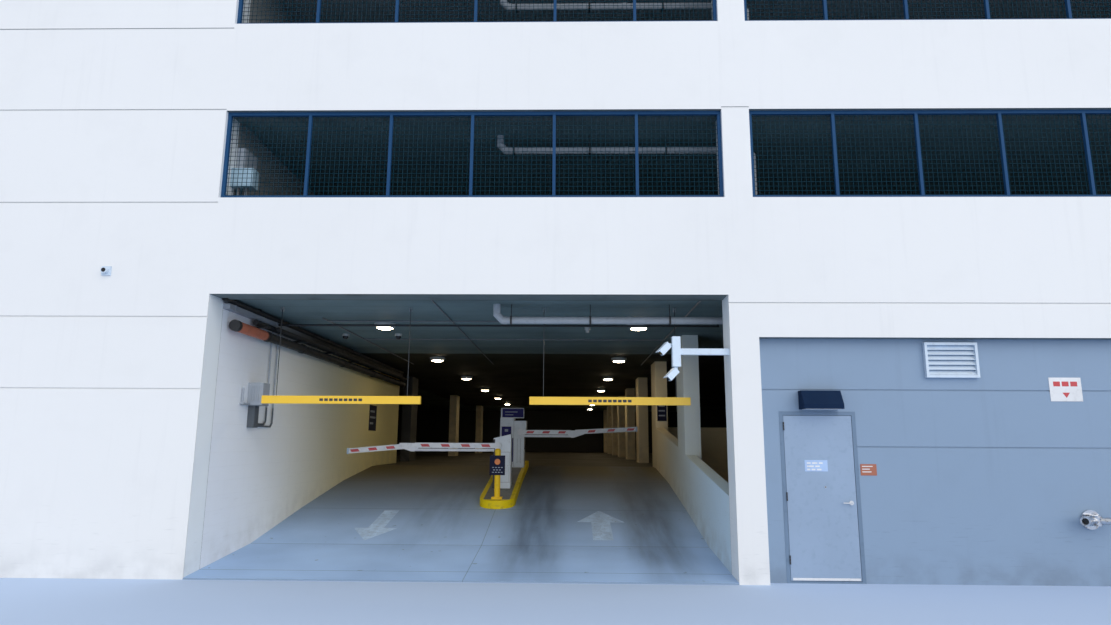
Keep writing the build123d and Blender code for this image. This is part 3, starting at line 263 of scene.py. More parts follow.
def cast_concrete(name, colour, stain, grain, streaking=0.3, shade_depth=None):
    """Bare concrete with clouded tone, damp patches, fine pits and the joints of the boards.

    Soffits that lie deeper in the building than a shade depth are painted near black as shade.
    """
    material, place = new_finish(name, Specular_IOR_Level=0.3)
    clouds = place.noise(0.8, 6).fade(0.3, 0.75)
    damp = place.noise(0.28, 5).fade(0.55, 0.75)
    streaks = place.stretched((0.12, 1, 1)).noise(1.5, 4).fade(0.35, 0.7)
    pits = place.noise(40, 2).fade(0.68, 0.76)
    joints = place.math("PINGPONG", place.axis(1), board_joint_pitch / 2).fade(0.012, 0.004)
    marks = clouds * 0.3 + streaks * streaking + damp * 0.3 + pits * 0.25 + joints * 0.4
    surface = marks.blend(colour, stain)
    if shade_depth:
        deep_soffit_shade = place.facing(2).fade(-0.5, -0.7) * wall_depth(place).fade(shade_depth, shade_depth + 0.05)
        surface = deep_soffit_shade.blend(surface, (0.03, 0.033, 0.026))
    surface.drive("Base Color")
    clouds.dull(0.2, 0.65)
    (place.noise(28, 4) * grain - pits * 0.5 - joints * 0.6).raise_surface(0.004)
    return material


give(cast_concrete("deck_concrete", (0.18, 0.255, 0.262), (0.075, 0.1, 0.105), grain=0.4, shade_depth=7.13),
     "level_2_deck", "level_3_deck", "upper_columns")
give(cast_concrete("ground_concrete", (0.13, 0.115, 0.08), (0.07, 0.062, 0.045), grain=0.4),
     "ground_deck", "service_floor")
give(cast_concrete("roof_concrete", (0.37, 0.39, 0.4), (0.2, 0.21, 0.215), grain=0.5, streaking=0.1),
     "level_4_deck")

# Entrance ramp: one broom-finished slab with saw-cut joints. Two dark tyre tracks run up the right lane, a
# faint one leaves by the left, and oil drips and old gum spot the concrete.
street_y = ramp_low.y
lane_x = ramp_low.x
entry_tracks, exit_track, track_half_width = (4.45, 6.45), 2.7, 0.2
lane_joint, cross_joints = 3.66, (0.43, 2.0, 4.1, 6.6, 8.9)
cut_half_width, cut_edge = 0.003, 0.005
ramp_finish, place = new_finish("ramp_broomed", Specular_IOR_Level=0.4)
across = place.axis(0) - lane_x
along = place.axis(1) - street_y
clouds = place.noise(0.55, 6).fade(0.3, 0.72)
broom = place.stretched((1, 60, 1)).noise(5)
wander = place.stretched((1, 0.35, 1)).noise(0.9, 2) * 0.35 - 0.17
tracks = 0
for track in entry_tracks:
    tracks = tracks + (across + wander).near(track, track_half_width, 0.45)
smear = place.stretched((4, 0.5, 1)).noise(1.6, 4).fade(0.2, 0.85)
fainter = along.fade(-0.4, 2.2) * 0.75 + 0.25
rubber = tracks * (smear * 0.5 + 0.5) * fainter
exit_rubber = (across + wander).near(exit_track, track_half_width, 0.6) * smear * along.fade(0.5, 4.0) * 0.25
drips = place.noise(7, 2).fade(0.72, 0.77) + place.noise(2.3).fade(0.72, 0.8) * 0.7
joints = across.near(lane_joint, cut_half_width, cut_edge) * 0.4
for joint in cross_joints:
    joints = joints + along.near(joint, cut_half_width, cut_edge) * 0.7
# The concrete is painted bluish near the street as skylight and fades to dark brown deeper in as painted
# shade.
worn = clouds.blend((0.43, 0.62, 0.92), (0.34, 0.5, 0.76))
deep_shade = along.fade(1.5, 8.8).blend(worn, (0.13, 0.105, 0.055))
marked = (rubber * 0.7 + exit_rubber + drips * 0.5).blend(deep_shade, (0.05, 0.075, 0.11))
# The lip that faces the street is painted darker than the top: painted shade on that face.
lip_shade = place.facing(1).fade(-0.4, -0.6)
marked = lip_shade.blend(marked, (0.24, 0.33, 0.46))
joints.coat(marked, (0.05, 0.055, 0.06))
(0.72 - rubber * 0.2 - drips * 0.25).drive("Roughness")
(broom * 0.5 + place.noise(22, 4) * 0.5 - joints).raise_surface(0.003)
give(ramp_finish, "entrance_ramp")

# Painted arrows on the ramp: thin road paint that follows the slope, worn through by tyres. The left one
# points out to the street and the right one points in.
ramp_stations = ((0, 0.02), (2, 0.19), (4.1, 0.55), (6.6, 0.93), (8.9, 1.17), (9.57, 1.18))
paint_thickness, arrow_row, tip_width = 0.002, 0.05, 0.01


def ramp_surface(y):
    """Height of the ramp's surface at a distance y behind the street face."""
    for (y0, z0), (y1, z1) in zip(ramp_stations, ramp_stations[1:]):
        if y <= y1:
            return z0 + (z1 - z0) * (y - y0) / (y1 - y0)


def at(x, y, z):
    """A point right of the entrance's left wall, behind the street face and above the street."""
    return Vector((lane_x + x, street_y + y, z))


def add_object(name, mesh, material):
    """Turn a finished mesh into a named object of the scene."""
    data = bpy.data.meshes.new(name)
    mesh.to_mesh(data)
    mesh.free()
    data.materials.append(material)
    made = bpy.data.objects.new(name, data)
    bpy.context.collection.objects.link(made)
    return made


def add_piece(name, mesh, material, body="building", smooth=False):
    """Turn a finished mesh into a piece that moves with a body."""
    piece = add_object(name, mesh, material)
    if smooth:
        piece.data.shade_smooth()
        piece.data.set_sharp_from_angle(angle=radians(35))
    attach(piece, body)
    return piece


def lane_arrow(mesh, middle, tail_y, tip_y, head_length, head_width, shaft_width):
    """One arrow, cut into short rows so that it lies on the slope."""
    heading = 1 if tip_y > tail_y else -1
    neck_y = tip_y - heading * head_length
    steps = int(abs(neck_y - tail_y) / arrow_row)
    rows = [(tail_y + (neck_y - tail_y) * step / steps, shaft_width) for step in range(steps + 1)]
    rows += [(neck_y, head_width)]
    steps = int(head_length / arrow_row)
    rows += [(neck_y + (tip_y - neck_y) * step / steps, head_width * (1 - step / steps) + tip_width)
             for step in range(1, steps + 1)]
    previous = None
    for y, width in rows:
        height = ramp_surface(y) + paint_thickness
        pair = [mesh.verts.new(at(middle + side * width / 2, y, height)) for side in (-heading, heading)]
        if previous and y != previous_y:
            mesh.faces.new((previous[0], previous[1], pair[1], pair[0]))
        previous, previous_y = pair, y


def line_paint(name, fresh, faded):
    """Thin road paint with worn spots, through which the concrete shows."""
    material, place = new_finish(name, Specular_IOR_Level=0.4)
    wear = place.noise(9, 4).fade(0.4, 0.62) * 0.5
    wear = wear + place.stretched((5, 1, 1)).noise(1.6).fade(0.35, 0.65) * 0.5
    wear.coat(fresh, faded)
    (1 - place.noise(30).fade(0.6, 0.7) * 0.3 - wear * 0.08).drive("Alpha")
    (0.75 - wear * 0.15).drive("Roughness")
    return material


road_paint = line_paint("road_paint", (0.58, 0.76, 1.0), (0.46, 0.62, 0.84))
arrows = bmesh.new()
lane_arrow(arrows, 1.75, tail_y=3.97, tip_y=2.2, head_length=0.67, head_width=0.74, shaft_width=0.27)
lane_arrow(arrows, 5.59, tail_y=2.3, tip_y=4.05, head_length=0.74, head_width=0.84, shaft_width=0.33)
add_piece("ramp_arrows", arrows, road_paint)


# Window frames: steel bars and mullions welded up and sprayed dark navy, a paint that has chalked in
# patches and chipped in small spots.
def enamel(name, colour, worn, gloss=0.5, grain=0.0006, chips=0.25, shine=0.5):
    """Sprayed or brushed paint on metal: slight tone drift, dust, small chips and a faint orange peel."""
    material, place = new_finish(name, Specular_IOR_Level=shine)
    drift = place.noise(1.7, 4).fade(0.3, 0.75)
    dust = place.noise(14, 5).fade(0.5, 0.78)
    chipped = place.noise(38, 4).fade(0.7, 0.78)
    (drift * 0.3 + dust * 0.3 + chipped * chips).coat(colour, worn)
    (1 - gloss + dust * 0.18 + chipped * 0.2).drive("Roughness")
    (place.noise(160, 2) * 0.6 - chipped * 0.4).raise_surface(grain)
    return material


frame_navy = enamel("frame_navy", (0.006, 0.055, 0.15), (0.02, 0.09, 0.2), gloss=0.35, shine=0.25)
give(frame_navy, "front_window_frames", "outer_window_frames")

# Window wires: welded square mesh of thin painted steel wire behind each frame, in place of the plain panel
# that marks where the mesh stands.
bay, storey = 7.62, 2.731
window_width, window_height = 7.225, 1.334
wire_pitch, wire_half = 0.0672, 0.003
street_bays, side_bays, back_bays = 3, 5, 4


def wire(mesh, start, end, across, through):
    """One straight wire with four flat sides, given its start, its end and two half widths."""
    rings = [[mesh.verts.new(point + across * a + through * b)
              for a, b in ((1, 1), (-1, 1), (-1, -1), (1, -1))] for point in (start, end)]
    for corner in range(4):
        after = (corner + 1) % 4
        mesh.faces.new((rings[0][corner], rings[0][after], rings[1][after], rings[1][corner]))


def add_wires(name, walls):
    """The wires of all windows of some walls, on both storeys.

    A wall has the lower corner of its first window, its direction and its number of bays.
    """
    mesh = bmesh.new()
    up = Vector((0, 0, 1))
    upright_count, level_count = round(window_width / wire_pitch), round(window_height / wire_pitch)
    for foot, along, bays in walls:
        along = Vector(along)
        half_along, half_up, half_through = along * wire_half, up * wire_half, along.cross(up) * wire_half
        for number in range(2 * bays):
            corner = Vector(foot) + along * bay * (number // 2) + up * storey * (number % 2)
            for upright in range(1, upright_count):
                start = corner + along * window_width * upright / upright_count
                wire(mesh, start, start + up * window_height, half_along, half_through)
            for row in range(1, level_count):
                start = corner + up * window_height * row / level_count + half_through * 2
                wire(mesh, start, start + along * window_width, half_up, half_through)
    return add_piece(name, mesh, wire_paint)


wire_paint, place = new_finish("wire_paint", Specular_IOR_Level=0.05)
place.noise(9, 4).coat((0.001, 0.03, 0.048), (0.008, 0.045, 0.068))
place.noise(30).dull(0.2, 0.6)
street_low, street_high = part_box("front_window_mesh")
street_wires = add_wires("street_window_wires", [
    ((street_low.x, street_low.y + wire_half, street_low.z), (1, 0, 0), street_bays)])
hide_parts("front_window_mesh")
outer_low, outer_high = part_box("outer_window_mesh")
back_x = -street_high.x
outer_wires = add_wires("outer_window_wires", [
    ((outer_low.x + wire_half, outer_low.y, outer_low.z), (0, 1, 0), side_bays),
    ((outer_high.x - wire_half, outer_low.y, outer_low.z), (0, 1, 0), side_bays),
    ((back_x, outer_high.y - wire_half, outer_low.z), (1, 0, 0), back_bays)])
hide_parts("outer_window_mesh")

# Mullions of the side and back windows: the same five upright bars as in the street windows, which divide
# each frame into six panes.
pane_count = 6
frame_bar, frame_depth, mullion_half = 0.05, 0.05, 0.022


def add_fitting(name, material, body="building", rods=(), blocks=(), prisms=(), edge=0):
    """A piece made of simple bars and plates, with all edges chamfered where an edge width is given.

    A rod has its start, its run, its radius and its number of sides, and a block two opposite corners. A
    prism has an outline in x and z, and lies between its near and its far face along y.
    """
    mesh = bmesh.new()
    for start, run, radius, sides in rods:
        run = Vector(run)
        place = Matrix.Translation(Vector(start) + run / 2) @ run.to_track_quat("Z", "Y").to_matrix().to_4x4()
        bmesh.ops.create_cone(mesh, cap_ends=True, segments=sides, radius1=radius, radius2=radius,
                              depth=run.length, matrix=place)
    for corner, opposite in blocks:
        corner, opposite = Vector(corner), Vector(opposite)
        size = Matrix.Diagonal((*map(abs, opposite - corner), 1))
        place = Matrix.Translation((corner + opposite) / 2) @ size
        bmesh.ops.create_cube(mesh, size=1, matrix=place)
    for outline, near, far in prisms:
        rings = [[mesh.verts.new((x, y, z)) for x, z in outline] for y in (near, far)]
        faces = [mesh.faces.new(ring) for ring in rings]
        for number in range(len(outline)):
            faces.append(mesh.faces.new((rings[0][number - 1], rings[0][number], rings[1][number],
                                         rings[1][number - 1])))
        bmesh.ops.recalc_face_normals(mesh, faces=faces)
    if edge:
        bmesh.ops.bevel(mesh, geom=mesh.edges[:], offset=edge, segments=1, affect="EDGES", profile=0.5,
                        clamp_overlap=True)
    add_piece(name, mesh, material, body, smooth=bool(rods or edge))


frame_low, frame_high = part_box("outer_window_frames")
mullions = []
for number in range(side_bays):
    for level in range(2):
        low_z = outer_low.z + storey * level + frame_bar
        high_z = low_z + window_height - 2 * frame_bar
        for pane in range(1, pane_count):
            middle = number * bay + frame_bar + (window_width - 2 * frame_bar) * pane / pane_count
            near, far = middle - mullion_half, middle + mullion_half
            for face_x, inner_x in ((frame_low.x, frame_low.x + frame_depth),
                                    (frame_high.x, frame_high.x - frame_depth)):
                mullions.append(((face_x, outer_low.y + near, low_z), (inner_x, outer_low.y + far, high_z)))
            if number < back_bays:
                mullions.append(((back_x + near, frame_high.y - frame_depth, low_z),
                                 (back_x + far, frame_high.y, high_z)))
add_fitting("outer_window_mullions", frame_navy, blocks=mullions)

# Service door: hollow steel leaf and frame under the wall's grey, brushed on by hand, with three hinges, a
# satin steel lever on its rose, a small viewer, a thin notice plate and a pale sweep along its foot.
give(enamel("door_grey", (0.3, 0.4, 0.545), (0.22, 0.3, 0.41), gloss=0.42, grain=0.001), "door_leaf")
# The frame is painted darker than the leaf: painted shade along its head and jamb.
give(enamel("frame_grey", (0.155, 0.235, 0.345), (0.1, 0.15, 0.22), gloss=0.4, grain=0.001), "door_frame")
satin_steel, place = new_finish("satin_steel", Metallic=1)
drawn = place.stretched((1, 1, 40)).noise(60)
drawn.coat((0.5, 0.52, 0.55), (0.72, 0.73, 0.75))
drawn.dull(0.2, 0.25)
give(satin_steel, "door_lever")
plate_white = enamel("plate_white", (0.82, 0.83, 0.85), (0.5, 0.5, 0.5), gloss=0.6, chips=0.1)
plate_blue = enamel("plate_blue", (0.42, 0.58, 0.85), (0.3, 0.4, 0.6), gloss=0.6, chips=0.1)
mark_dark = enamel("mark_dark", (0.03, 0.03, 0.035), (0.08, 0.08, 0.09), gloss=0.4, chips=0.1)


def plates(corner, rows):
    """Plates that face the street, as blocks. Each row gives a plate's left, right, low and high edge from
    a corner, how far its back lies behind that corner, and its thickness."""
    return [(corner + Vector((left, back - thickness, low)), corner + Vector((right, back, high)))
            for left, right, low, high, back, thickness in rows]


def disc(middle, depth, radius, sides):
    """A disc that stands proud towards the street, as a rod, from the middle of its back."""
    return Vector(middle) - Vector((0, depth, 0)), (0, depth, 0), radius, sides


def mark_line(left, low, height, back, thickness, lengths, gap=0):
    """The rows for one line of plain marks, from left to right."""
    rows = []
    for length in lengths:
        rows.append((left, left + length, low, low + height, back, thickness))
        left += length + gap
    return rows


def centre(node):
    """The middle of a node's box."""
    low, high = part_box(node)
    return (low + high) / 2


leaf_low, leaf_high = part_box("door_leaf")
wall_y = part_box("service_wall")[0].y
wall_foot = Vector((lane_x, wall_y, 0))
add_fitting("door_notice", plate_blue, "door", edge=0.001,
            blocks=plates(wall_foot, [(8.19, 8.495, 1.425, 1.575, 0, 0.003)]))
notice_lines = []
for line, lengths in enumerate(((0.05, 0.07, 0.05), (0.09, 0.06), (0.04, 0.05, 0.06))):
    notice_lines += mark_line(8.22, 1.525 - line * 0.042, 0.02, -0.0028, 0.001, lengths, gap=0.02)
add_fitting("door_notice_marks", plate_white, "door", blocks=plates(wall_foot, notice_lines))

viewer, rim = wall_foot + Vector((8.45, 0, 1.223)), 0.006
add_fitting("door_viewer", satin_steel, "door", rods=[disc(viewer, rim, 0.013, 16)])
add_fitting("door_viewer_glass", mark_dark, "door",
            rods=[disc(viewer - Vector((0, rim, 0)), 0.0015, 0.009, 16)])
sweep_foot = Vector((leaf_low.x, wall_y, leaf_low.z))
sweep_end = leaf_high.x - leaf_low.x - 0.012
add_fitting("door_sweep", plate_white, "door", edge=0.001,
            blocks=plates(sweep_foot, [(0.035, sweep_end, 0.006, 0.036, 0, 0.004)]))
rose = (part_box("door_lever")[1].x - 0.009, wall_y, centre("door_lever").z)
add_fitting("lever_rose", satin_steel, "door", rods=[disc(rose, 0.0105, 0.029, 32)])
frame_knuckles, leaf_knuckles = [], []
for hinge_z in (0.205, 1.01, 1.935):
    for rise, knuckles in ((0.001, frame_knuckles), (0.039, leaf_knuckles), (0.077, frame_knuckles)):
        foot = (leaf_low.x + 0.008, wall_y - 0.013, leaf_low.z + hinge_z + rise)
        knuckles.append((foot, (0, 0, 0.036), 0.0088, 16))
add_fitting("frame_hinge_barrels", mark_dark, rods=frame_knuckles)
add_fitting("leaf_hinge_barrels", mark_dark, "door", rods=leaf_knuckles)

# Traffic island: a concrete kerb painted yellow on its side and edge, bare and oily on top. The paint is
# chipped, and scuffed where tyres ride against it.
island_y, island_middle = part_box("traffic_island")[0].y, centre("traffic_island").x
bare_half = 0.24
kerb_yellow, place = new_finish("kerb_yellow", Specular_IOR_Level=0.2)
inside = place.axis(0).near(island_middle, bare_half, 0.02) * (place.axis(1) - island_y).fade(0.1, 0.14)
bare = place.facing(2).fade(0.6, 0.9) * inside
chipped = place.noise(9, 6).fade(0.56, 0.7)
scuffed = place.stretched((3, 1, 9)).noise(3, 4).fade(0.55, 0.75)
paint = (chipped * 0.4 + scuffed * 0.35).blend((0.8, 0.6, 0.004), (0.26, 0.22, 0.07))
bare.coat(paint, place.noise(3, 5).blend((0.13, 0.13, 0.12), (0.24, 0.24, 0.22)))
chipped.dull(0.3, 0.5)
(place.noise(30, 4) * 0.6 - chipped * 0.4).raise_surface(0.003)
give(kerb_yellow, "traffic_island")

# Bollard: a steel tube filled with concrete, in yellow enamel, with a dark plate strapped to it. The plate's
# print is a plain orange spot over grey dashes.
give(enamel("bollard_yellow", (0.88, 0.56, 0.01), (0.4, 0.28, 0.05), chips=0.5, shine=0.3),
     "bollard")
plate_navy = enamel("plate_navy", (0.006, 0.007, 0.03), (0.02, 0.025, 0.06), gloss=0.45, shine=0.15)
give(plate_navy, "bollard_plate")
mark_orange = enamel("mark_orange", (0.75, 0.22, 0.05), (0.5, 0.2, 0.1))
mark_grey = enamel("mark_grey", (0.3, 0.34, 0.42), (0.2, 0.22, 0.26))
plate_low, plate_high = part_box("bollard_plate")
plate_middle, film = centre("bollard_plate").x, 0.001
spot = (plate_middle, plate_low.y, plate_high.z - 0.12)
add_fitting("bollard_plate_spot", mark_orange, rods=[disc(spot, film, 0.055, 32)])
dashes = []
for line, (left, count) in enumerate(((-0.1, 4), (-0.08, 3), (-0.1, 4))):
    dashes += mark_line(left, 0.045 + line * 0.045, 0.016, 0, film, (0.036,) * count, gap=0.02)
add_fitting("bollard_plate_dashes", mark_grey,
            blocks=plates(Vector((plate_middle, plate_low.y, plate_low.z)), dashes))

# Barrier machines: folded steel cabinets in pale grey, bolted down on the island, with door seams, locks,
# and a reader with its screen and slot on the side that faces the driver.
give(enamel("machine_grey", (0.7, 0.76, 0.82), (0.42, 0.45, 0.48), gloss=0.55),
     "exit_machine", "entry_kiosk", "entry_machine")
kerb_height = 0.15
exit_foot = Vector((island_middle - 0.178, street_y + 5.2, ramp_surface(5.2) + kerb_height))
kiosk_foot = Vector((island_middle - 0.29, street_y + 7.75, ramp_surface(7.75) + kerb_height))
seam = 0.0015
# A dark strip down the exit cabinet's corner is painted shade.
corner_shade_strip = (-seam, 0.034, 0, 0.98, 0.02, 0.02 + seam)
exit_seams = ((0.034, 0.356, 0.12, 0.124), (0.034, 0.356, 0.72, 0.724), (0.326, 0.329, 0.12, 0.72))
kiosk_seams = ((0.415, 0.419, 0.1, 0.68), (0.495, 0.499, 0.1, 0.68), (0.328, 0.332, 0, 1.1),
               (0, 0.33, 0.1, 0.104), (0, 0.33, 0.66, 0.664))
add_fitting("machine_seams", mark_dark,
            blocks=plates(exit_foot, [corner_shade_strip] + [(*edges, 0, seam) for edges in exit_seams])
            + plates(kiosk_foot, [(*edges, 0, seam) for edges in kiosk_seams]))
barrel = 0.008
lock_rods, key_slots = [], []
for lock in (exit_foot + Vector((0.296, 0, 0.45)), kiosk_foot + Vector((0.27, 0, 0.4))):
    lock_rods.append(disc(lock, barrel, 0.013, 16))
    key_slots += plates(lock, [(-0.002, 0.002, -0.007, 0.007, -barrel, 0.0015)])
add_fitting("machine_locks", satin_steel, rods=lock_rods, blocks=key_slots)
reader_depth, screen_depth = 0.004, 0.0055
readers, screens = [], []
for side, heading in ((exit_foot + Vector((0, 0.165, 0)), -1), (kiosk_foot + Vector((0.58, 0.21, 0)), 1)):
    readers.append((side + Vector((0, -0.1, 0.42)), side + Vector((heading * reader_depth, 0.1, 0.72))))
    for half, low, high in ((0.07, 0.6, 0.69), (0.05, 0.525, 0.533), (0.04, 0.455, 0.462)):
        screens.append((side + Vector((heading * reader_depth, -half, low)),
                        side + Vector((heading * screen_depth, half, high))))
add_fitting("machine_readers", plate_navy, blocks=readers, edge=0.0015)
add_fitting("machine_screens", mark_dark, blocks=screens)

# Kiosk boards: a dark blue sign on the kiosk's top with two pale generic bars, a display sunk in its face
# with one pale square, and a dark panel below.
sign_blue = enamel("sign_blue", (0.012, 0.01, 0.11), (0.03, 0.03, 0.16), gloss=0.45, shine=0.2)
add_fitting("kiosk_boards", sign_blue, edge=0.0015, blocks=plates(kiosk_foot, (
    (0.03, 0.548, 1.188, 1.398, 0.165, 0.004), (0.034, 0.266, 0.709, 0.961, 0.024, 0.005),
    (0.03, 0.32, 0.13, 0.69, 0, 0.004))))
add_fitting("kiosk_board_marks", mark_grey, blocks=plates(kiosk_foot, (
    (0.1, 0.4, 1.31, 1.326, 0.161, 0.0015), (0.1, 0.3, 1.24, 1.256, 0.161, 0.0015),
    (0.11, 0.19, 0.84, 0.9, 0.019, 0.0015))))

# Booms: flat white arms with red reflective lozenges on both faces, pinned to their machines. A slim white
# rod beside each arm keeps its outer half at its angle.
give(enamel("boom_white", (0.76, 0.79, 0.84), (0.42, 0.44, 0.46), gloss=0.6),
     "exit_inner_arm", "exit_outer_arm", "entry_inner_arm", "entry_outer_arm")
give(enamel("rod_white", (0.7, 0.73, 0.78), (0.4, 0.42, 0.45), gloss=0.6), "exit_link_rod", "entry_link_rod")
reflector_red = enamel("reflector_red", (0.55, 0.055, 0.07), (0.4, 0.12, 0.12), gloss=0.6, chips=0.2)
cap_blue = enamel("cap_blue", (0.36, 0.5, 0.68), (0.3, 0.36, 0.44))
lozenge_length, lozenge_height, lozenge_lean, lozenge_pitch = 0.2, 0.055, 0.035, 0.45
arm_half, arm_depth, hub_radius = 0.015, 0.105, 0.08
cap_half, cap_height = 0.022, 0.121
foil = 0.0006


def along_arm(root, heading, droop, points):
    """Points in x and z, from their distance along an arm that droops from its root, and their rise."""
    return [(root.x + heading * distance, root.z - distance * tan(radians(droop)) + rise)
            for distance, rise in points]


def lozenges(root, heading, droop, first, last):
    """Lozenges on both faces of an arm, as prisms, at distances from first to last."""
    half, rise = lozenge_length / 2, lozenge_height / 2
    count = round((last - first) / lozenge_pitch)
    prisms = []
    for number in range(count + 1):
        reach = first + (last - first) * number / count
        outline = along_arm(root, heading, droop, (
            (reach - half, -rise), (reach + half - lozenge_lean, -rise),
            (reach + half, rise), (reach + lozenge_lean - half, rise)))
        for face in (-arm_half, arm_half):
            prisms.append((outline, root.y + face - foil, root.y + face + foil))
    return prisms


for lane, heading, droop in (("exit", -1, 5), ("entry", 1, -3)):
    inner_arm, outer_arm = f"{lane}_inner_arm", f"{lane}_outer_arm"
    inner_ends = [corner.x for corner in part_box(inner_arm)][::heading]
    outer_ends = [corner.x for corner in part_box(outer_arm)][::heading]
    arm_y, arm_z = centre(outer_arm).y, centre(inner_arm).z
    pivot = Vector((inner_ends[0] + heading * hub_radius, arm_y, arm_z))
    elbow = Vector((inner_ends[1] - heading * arm_depth / 2, arm_y, arm_z))
    inner_reach, outer_reach = abs(elbow.x - pivot.x), abs(outer_ends[1] - elbow.x)
    add_fitting(f"{lane}_inner_lozenges", reflector_red, inner_arm,
                prisms=lozenges(pivot, heading, 0, 0.24, inner_reach - 0.16))
    add_fitting(f"{lane}_outer_lozenges", reflector_red, outer_arm,
                prisms=lozenges(elbow, heading, droop, 0.55, outer_reach - 0.16))
    cap_start, cap_end = outer_reach - 0.034, outer_reach + 0.001
    cap = along_arm(elbow, heading, droop, (
        (cap_start, -cap_height / 2), (cap_end, -cap_height / 2),
        (cap_end, cap_height / 2), (cap_start, cap_height / 2)))
    add_fitting(f"{lane}_boom_cap", cap_blue, outer_arm,
                prisms=[(cap, arm_y - cap_half, arm_y + cap_half)])

# Clearance bars: yellow plastic tubes that hang on dark steel rods over each lane, with a row of plain
# dark dashes on their street face.
bar_foot, tube_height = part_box("exit_clearance_bar")[0].z, 0.12
bar_yellow, place = new_finish("bar_yellow", Specular_IOR_Level=0.5)
dust = place.noise(5, 5).fade(0.45, 0.8)
grime = place.axis(2).fade(bar_foot + 0.03, bar_foot)
yellow = (dust * 0.15 + grime * 0.15).blend((1.0, 0.62, 0.04), (0.7, 0.45, 0.1))
hanger = place.axis(2).fade(bar_foot + tube_height, bar_foot + tube_height + 0.002)
hanger.coat(yellow, (0.03, 0.035, 0.04))
dust.dull(0.25, 0.32)
place.noise(60, 2).raise_surface(0.0004)
give(bar_yellow, "exit_clearance_bar", "entry_clearance_bar")
galvanised, place = new_finish("galvanised", Metallic=0.8)
place.noise(30).coat((0.3, 0.32, 0.34), (0.48, 0.5, 0.52))
place.noise(30).dull(0.2, 0.4)
give(galvanised, "clearance_bar_hooks")
for bar in ("exit_clearance_bar", "entry_clearance_bar"):
    bar_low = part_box(bar)[0]
    bar_middle = Vector((centre(bar).x, bar_low.y, bar_low.z))
    dashes = mark_line(-0.328, 0.04, 0.04, 0.001, 0.0016, (0.056,) * 9, gap=0.019)
    add_fitting(bar.replace("clearance_bar", "bar_dashes"), mark_dark, bar,
                blocks=plates(bar_middle, dashes))

# Ceiling lights: shallow white housings, each with a glowing frosted lens in a narrow ring. Further small
# fittings hang near them: two smoked domes and a detector.
housing_white = enamel("housing_white", (0.5, 0.52, 0.52), (0.3, 0.3, 0.28))
give(housing_white, "ceiling_lights")
lens_glow, place = new_finish("lens_glow", Base_Color=(0.95, 0.93, 0.86, 1), Roughness=0.5,
                              Emission_Color=(1.0, 0.82, 0.54, 1), Emission_Strength=46.0)
light_low, light_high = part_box("ceiling_lights")
light_radius, lens_radius, lens_bulge = 0.19, 0.142, 0.22
light_rows = 7
light_pitch = (light_high.y - light_low.y - 2 * light_radius) / (light_rows - 1)


def dome_into(mesh, middle, radius, bulge, segments):
    """A sphere, flattened by its bulge."""
    bmesh.ops.create_uvsphere(mesh, u_segments=segments, v_segments=12, radius=radius,
                              matrix=Matrix.Translation(middle) @ Matrix.Diagonal((1, 1, bulge, 1)))


lenses = bmesh.new()
rings = []
for row in range(light_rows):
    for light_x in (light_low.x + light_radius, light_high.x - light_radius):
        light = Vector((light_x, light_low.y + light_radius + row * light_pitch, light_low.z))
        dome_into(lenses, light, lens_radius, lens_bulge, 32)
        rings.append((light - Vector((0, 0, 0.005)), (0, 0, 0.009), lens_radius + 0.008, 32))
add_piece("light_lenses", lenses, lens_glow, smooth=True)
add_fitting("light_rings", housing_white, rods=rings)
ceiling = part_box("level_2_deck")[0].z
smoked = enamel("smoked", (0.02, 0.022, 0.025), (0.05, 0.05, 0.05), gloss=0.85)
domes = bmesh.new()
bases = []
for dome_x, dome_y in ((0.66, 4.07), (1.7, 4.05)):
    dome_into(domes, at(dome_x, dome_y, ceiling - 0.05), 0.055, 1, 24)
    bases.append((at(dome_x, dome_y, ceiling - 0.045), (0, 0, 0.045), 0.07, 24))
bases.append((at(5.36, 3.1, ceiling - 0.06), (0, 0, 0.06), 0.055, 24))
bases.append((at(5.36, 3.1, ceiling - 0.11), (0, 0, 0.05), 0.035, 24))
add_piece("ceiling_domes", domes, smoked, smooth=True)
add_fitting("ceiling_bases", housing_white, rods=bases)

# Pipes under the decks: a pale plastic drain, a black steel sprinkler line, and the fire main, which is red
# at the street and black with soot behind two dark bands. Thin steel conduits run back along the ceiling.
pipe_grey = enamel("pipe_grey", (0.46, 0.49, 0.52), (0.24, 0.25, 0.26), gloss=0.4)
give(pipe_grey, "drain_pipe")
pipe_black = enamel("pipe_black", (0.012, 0.013, 0.015), (0.05, 0.05, 0.05))
give(pipe_black, "sprinkler_pipe")
pipe_red, place = new_finish("pipe_red", Specular_IOR_Level=0.4)
soot = (place.axis(1) - street_y).fade(1.55, 1.62) + place.noise(4, 4).fade(0.5, 0.75) * 0.3
soot.coat((0.5, 0.15, 0.085), (0.02, 0.016, 0.016))
place.noise(12, 4).dull(0.2, 0.45)
place.noise(50).raise_surface(0.001)
give(pipe_red, "fire_main")
main_x, main_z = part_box("fire_main")[1].x - 0.054, centre("fire_main").z
main_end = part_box("lane_wall")[1].y - street_y - 0.02
red_start, red_end = 0.64, 1.72
sleeve_radius, lagging_radius, coupling_radius = 0.078, 0.072, 0.084


def main_rod(start_y, length, radius):
    """A rod round the fire main."""
    return (main_x, street_y + start_y, main_z), (0, length, 0), radius, 32


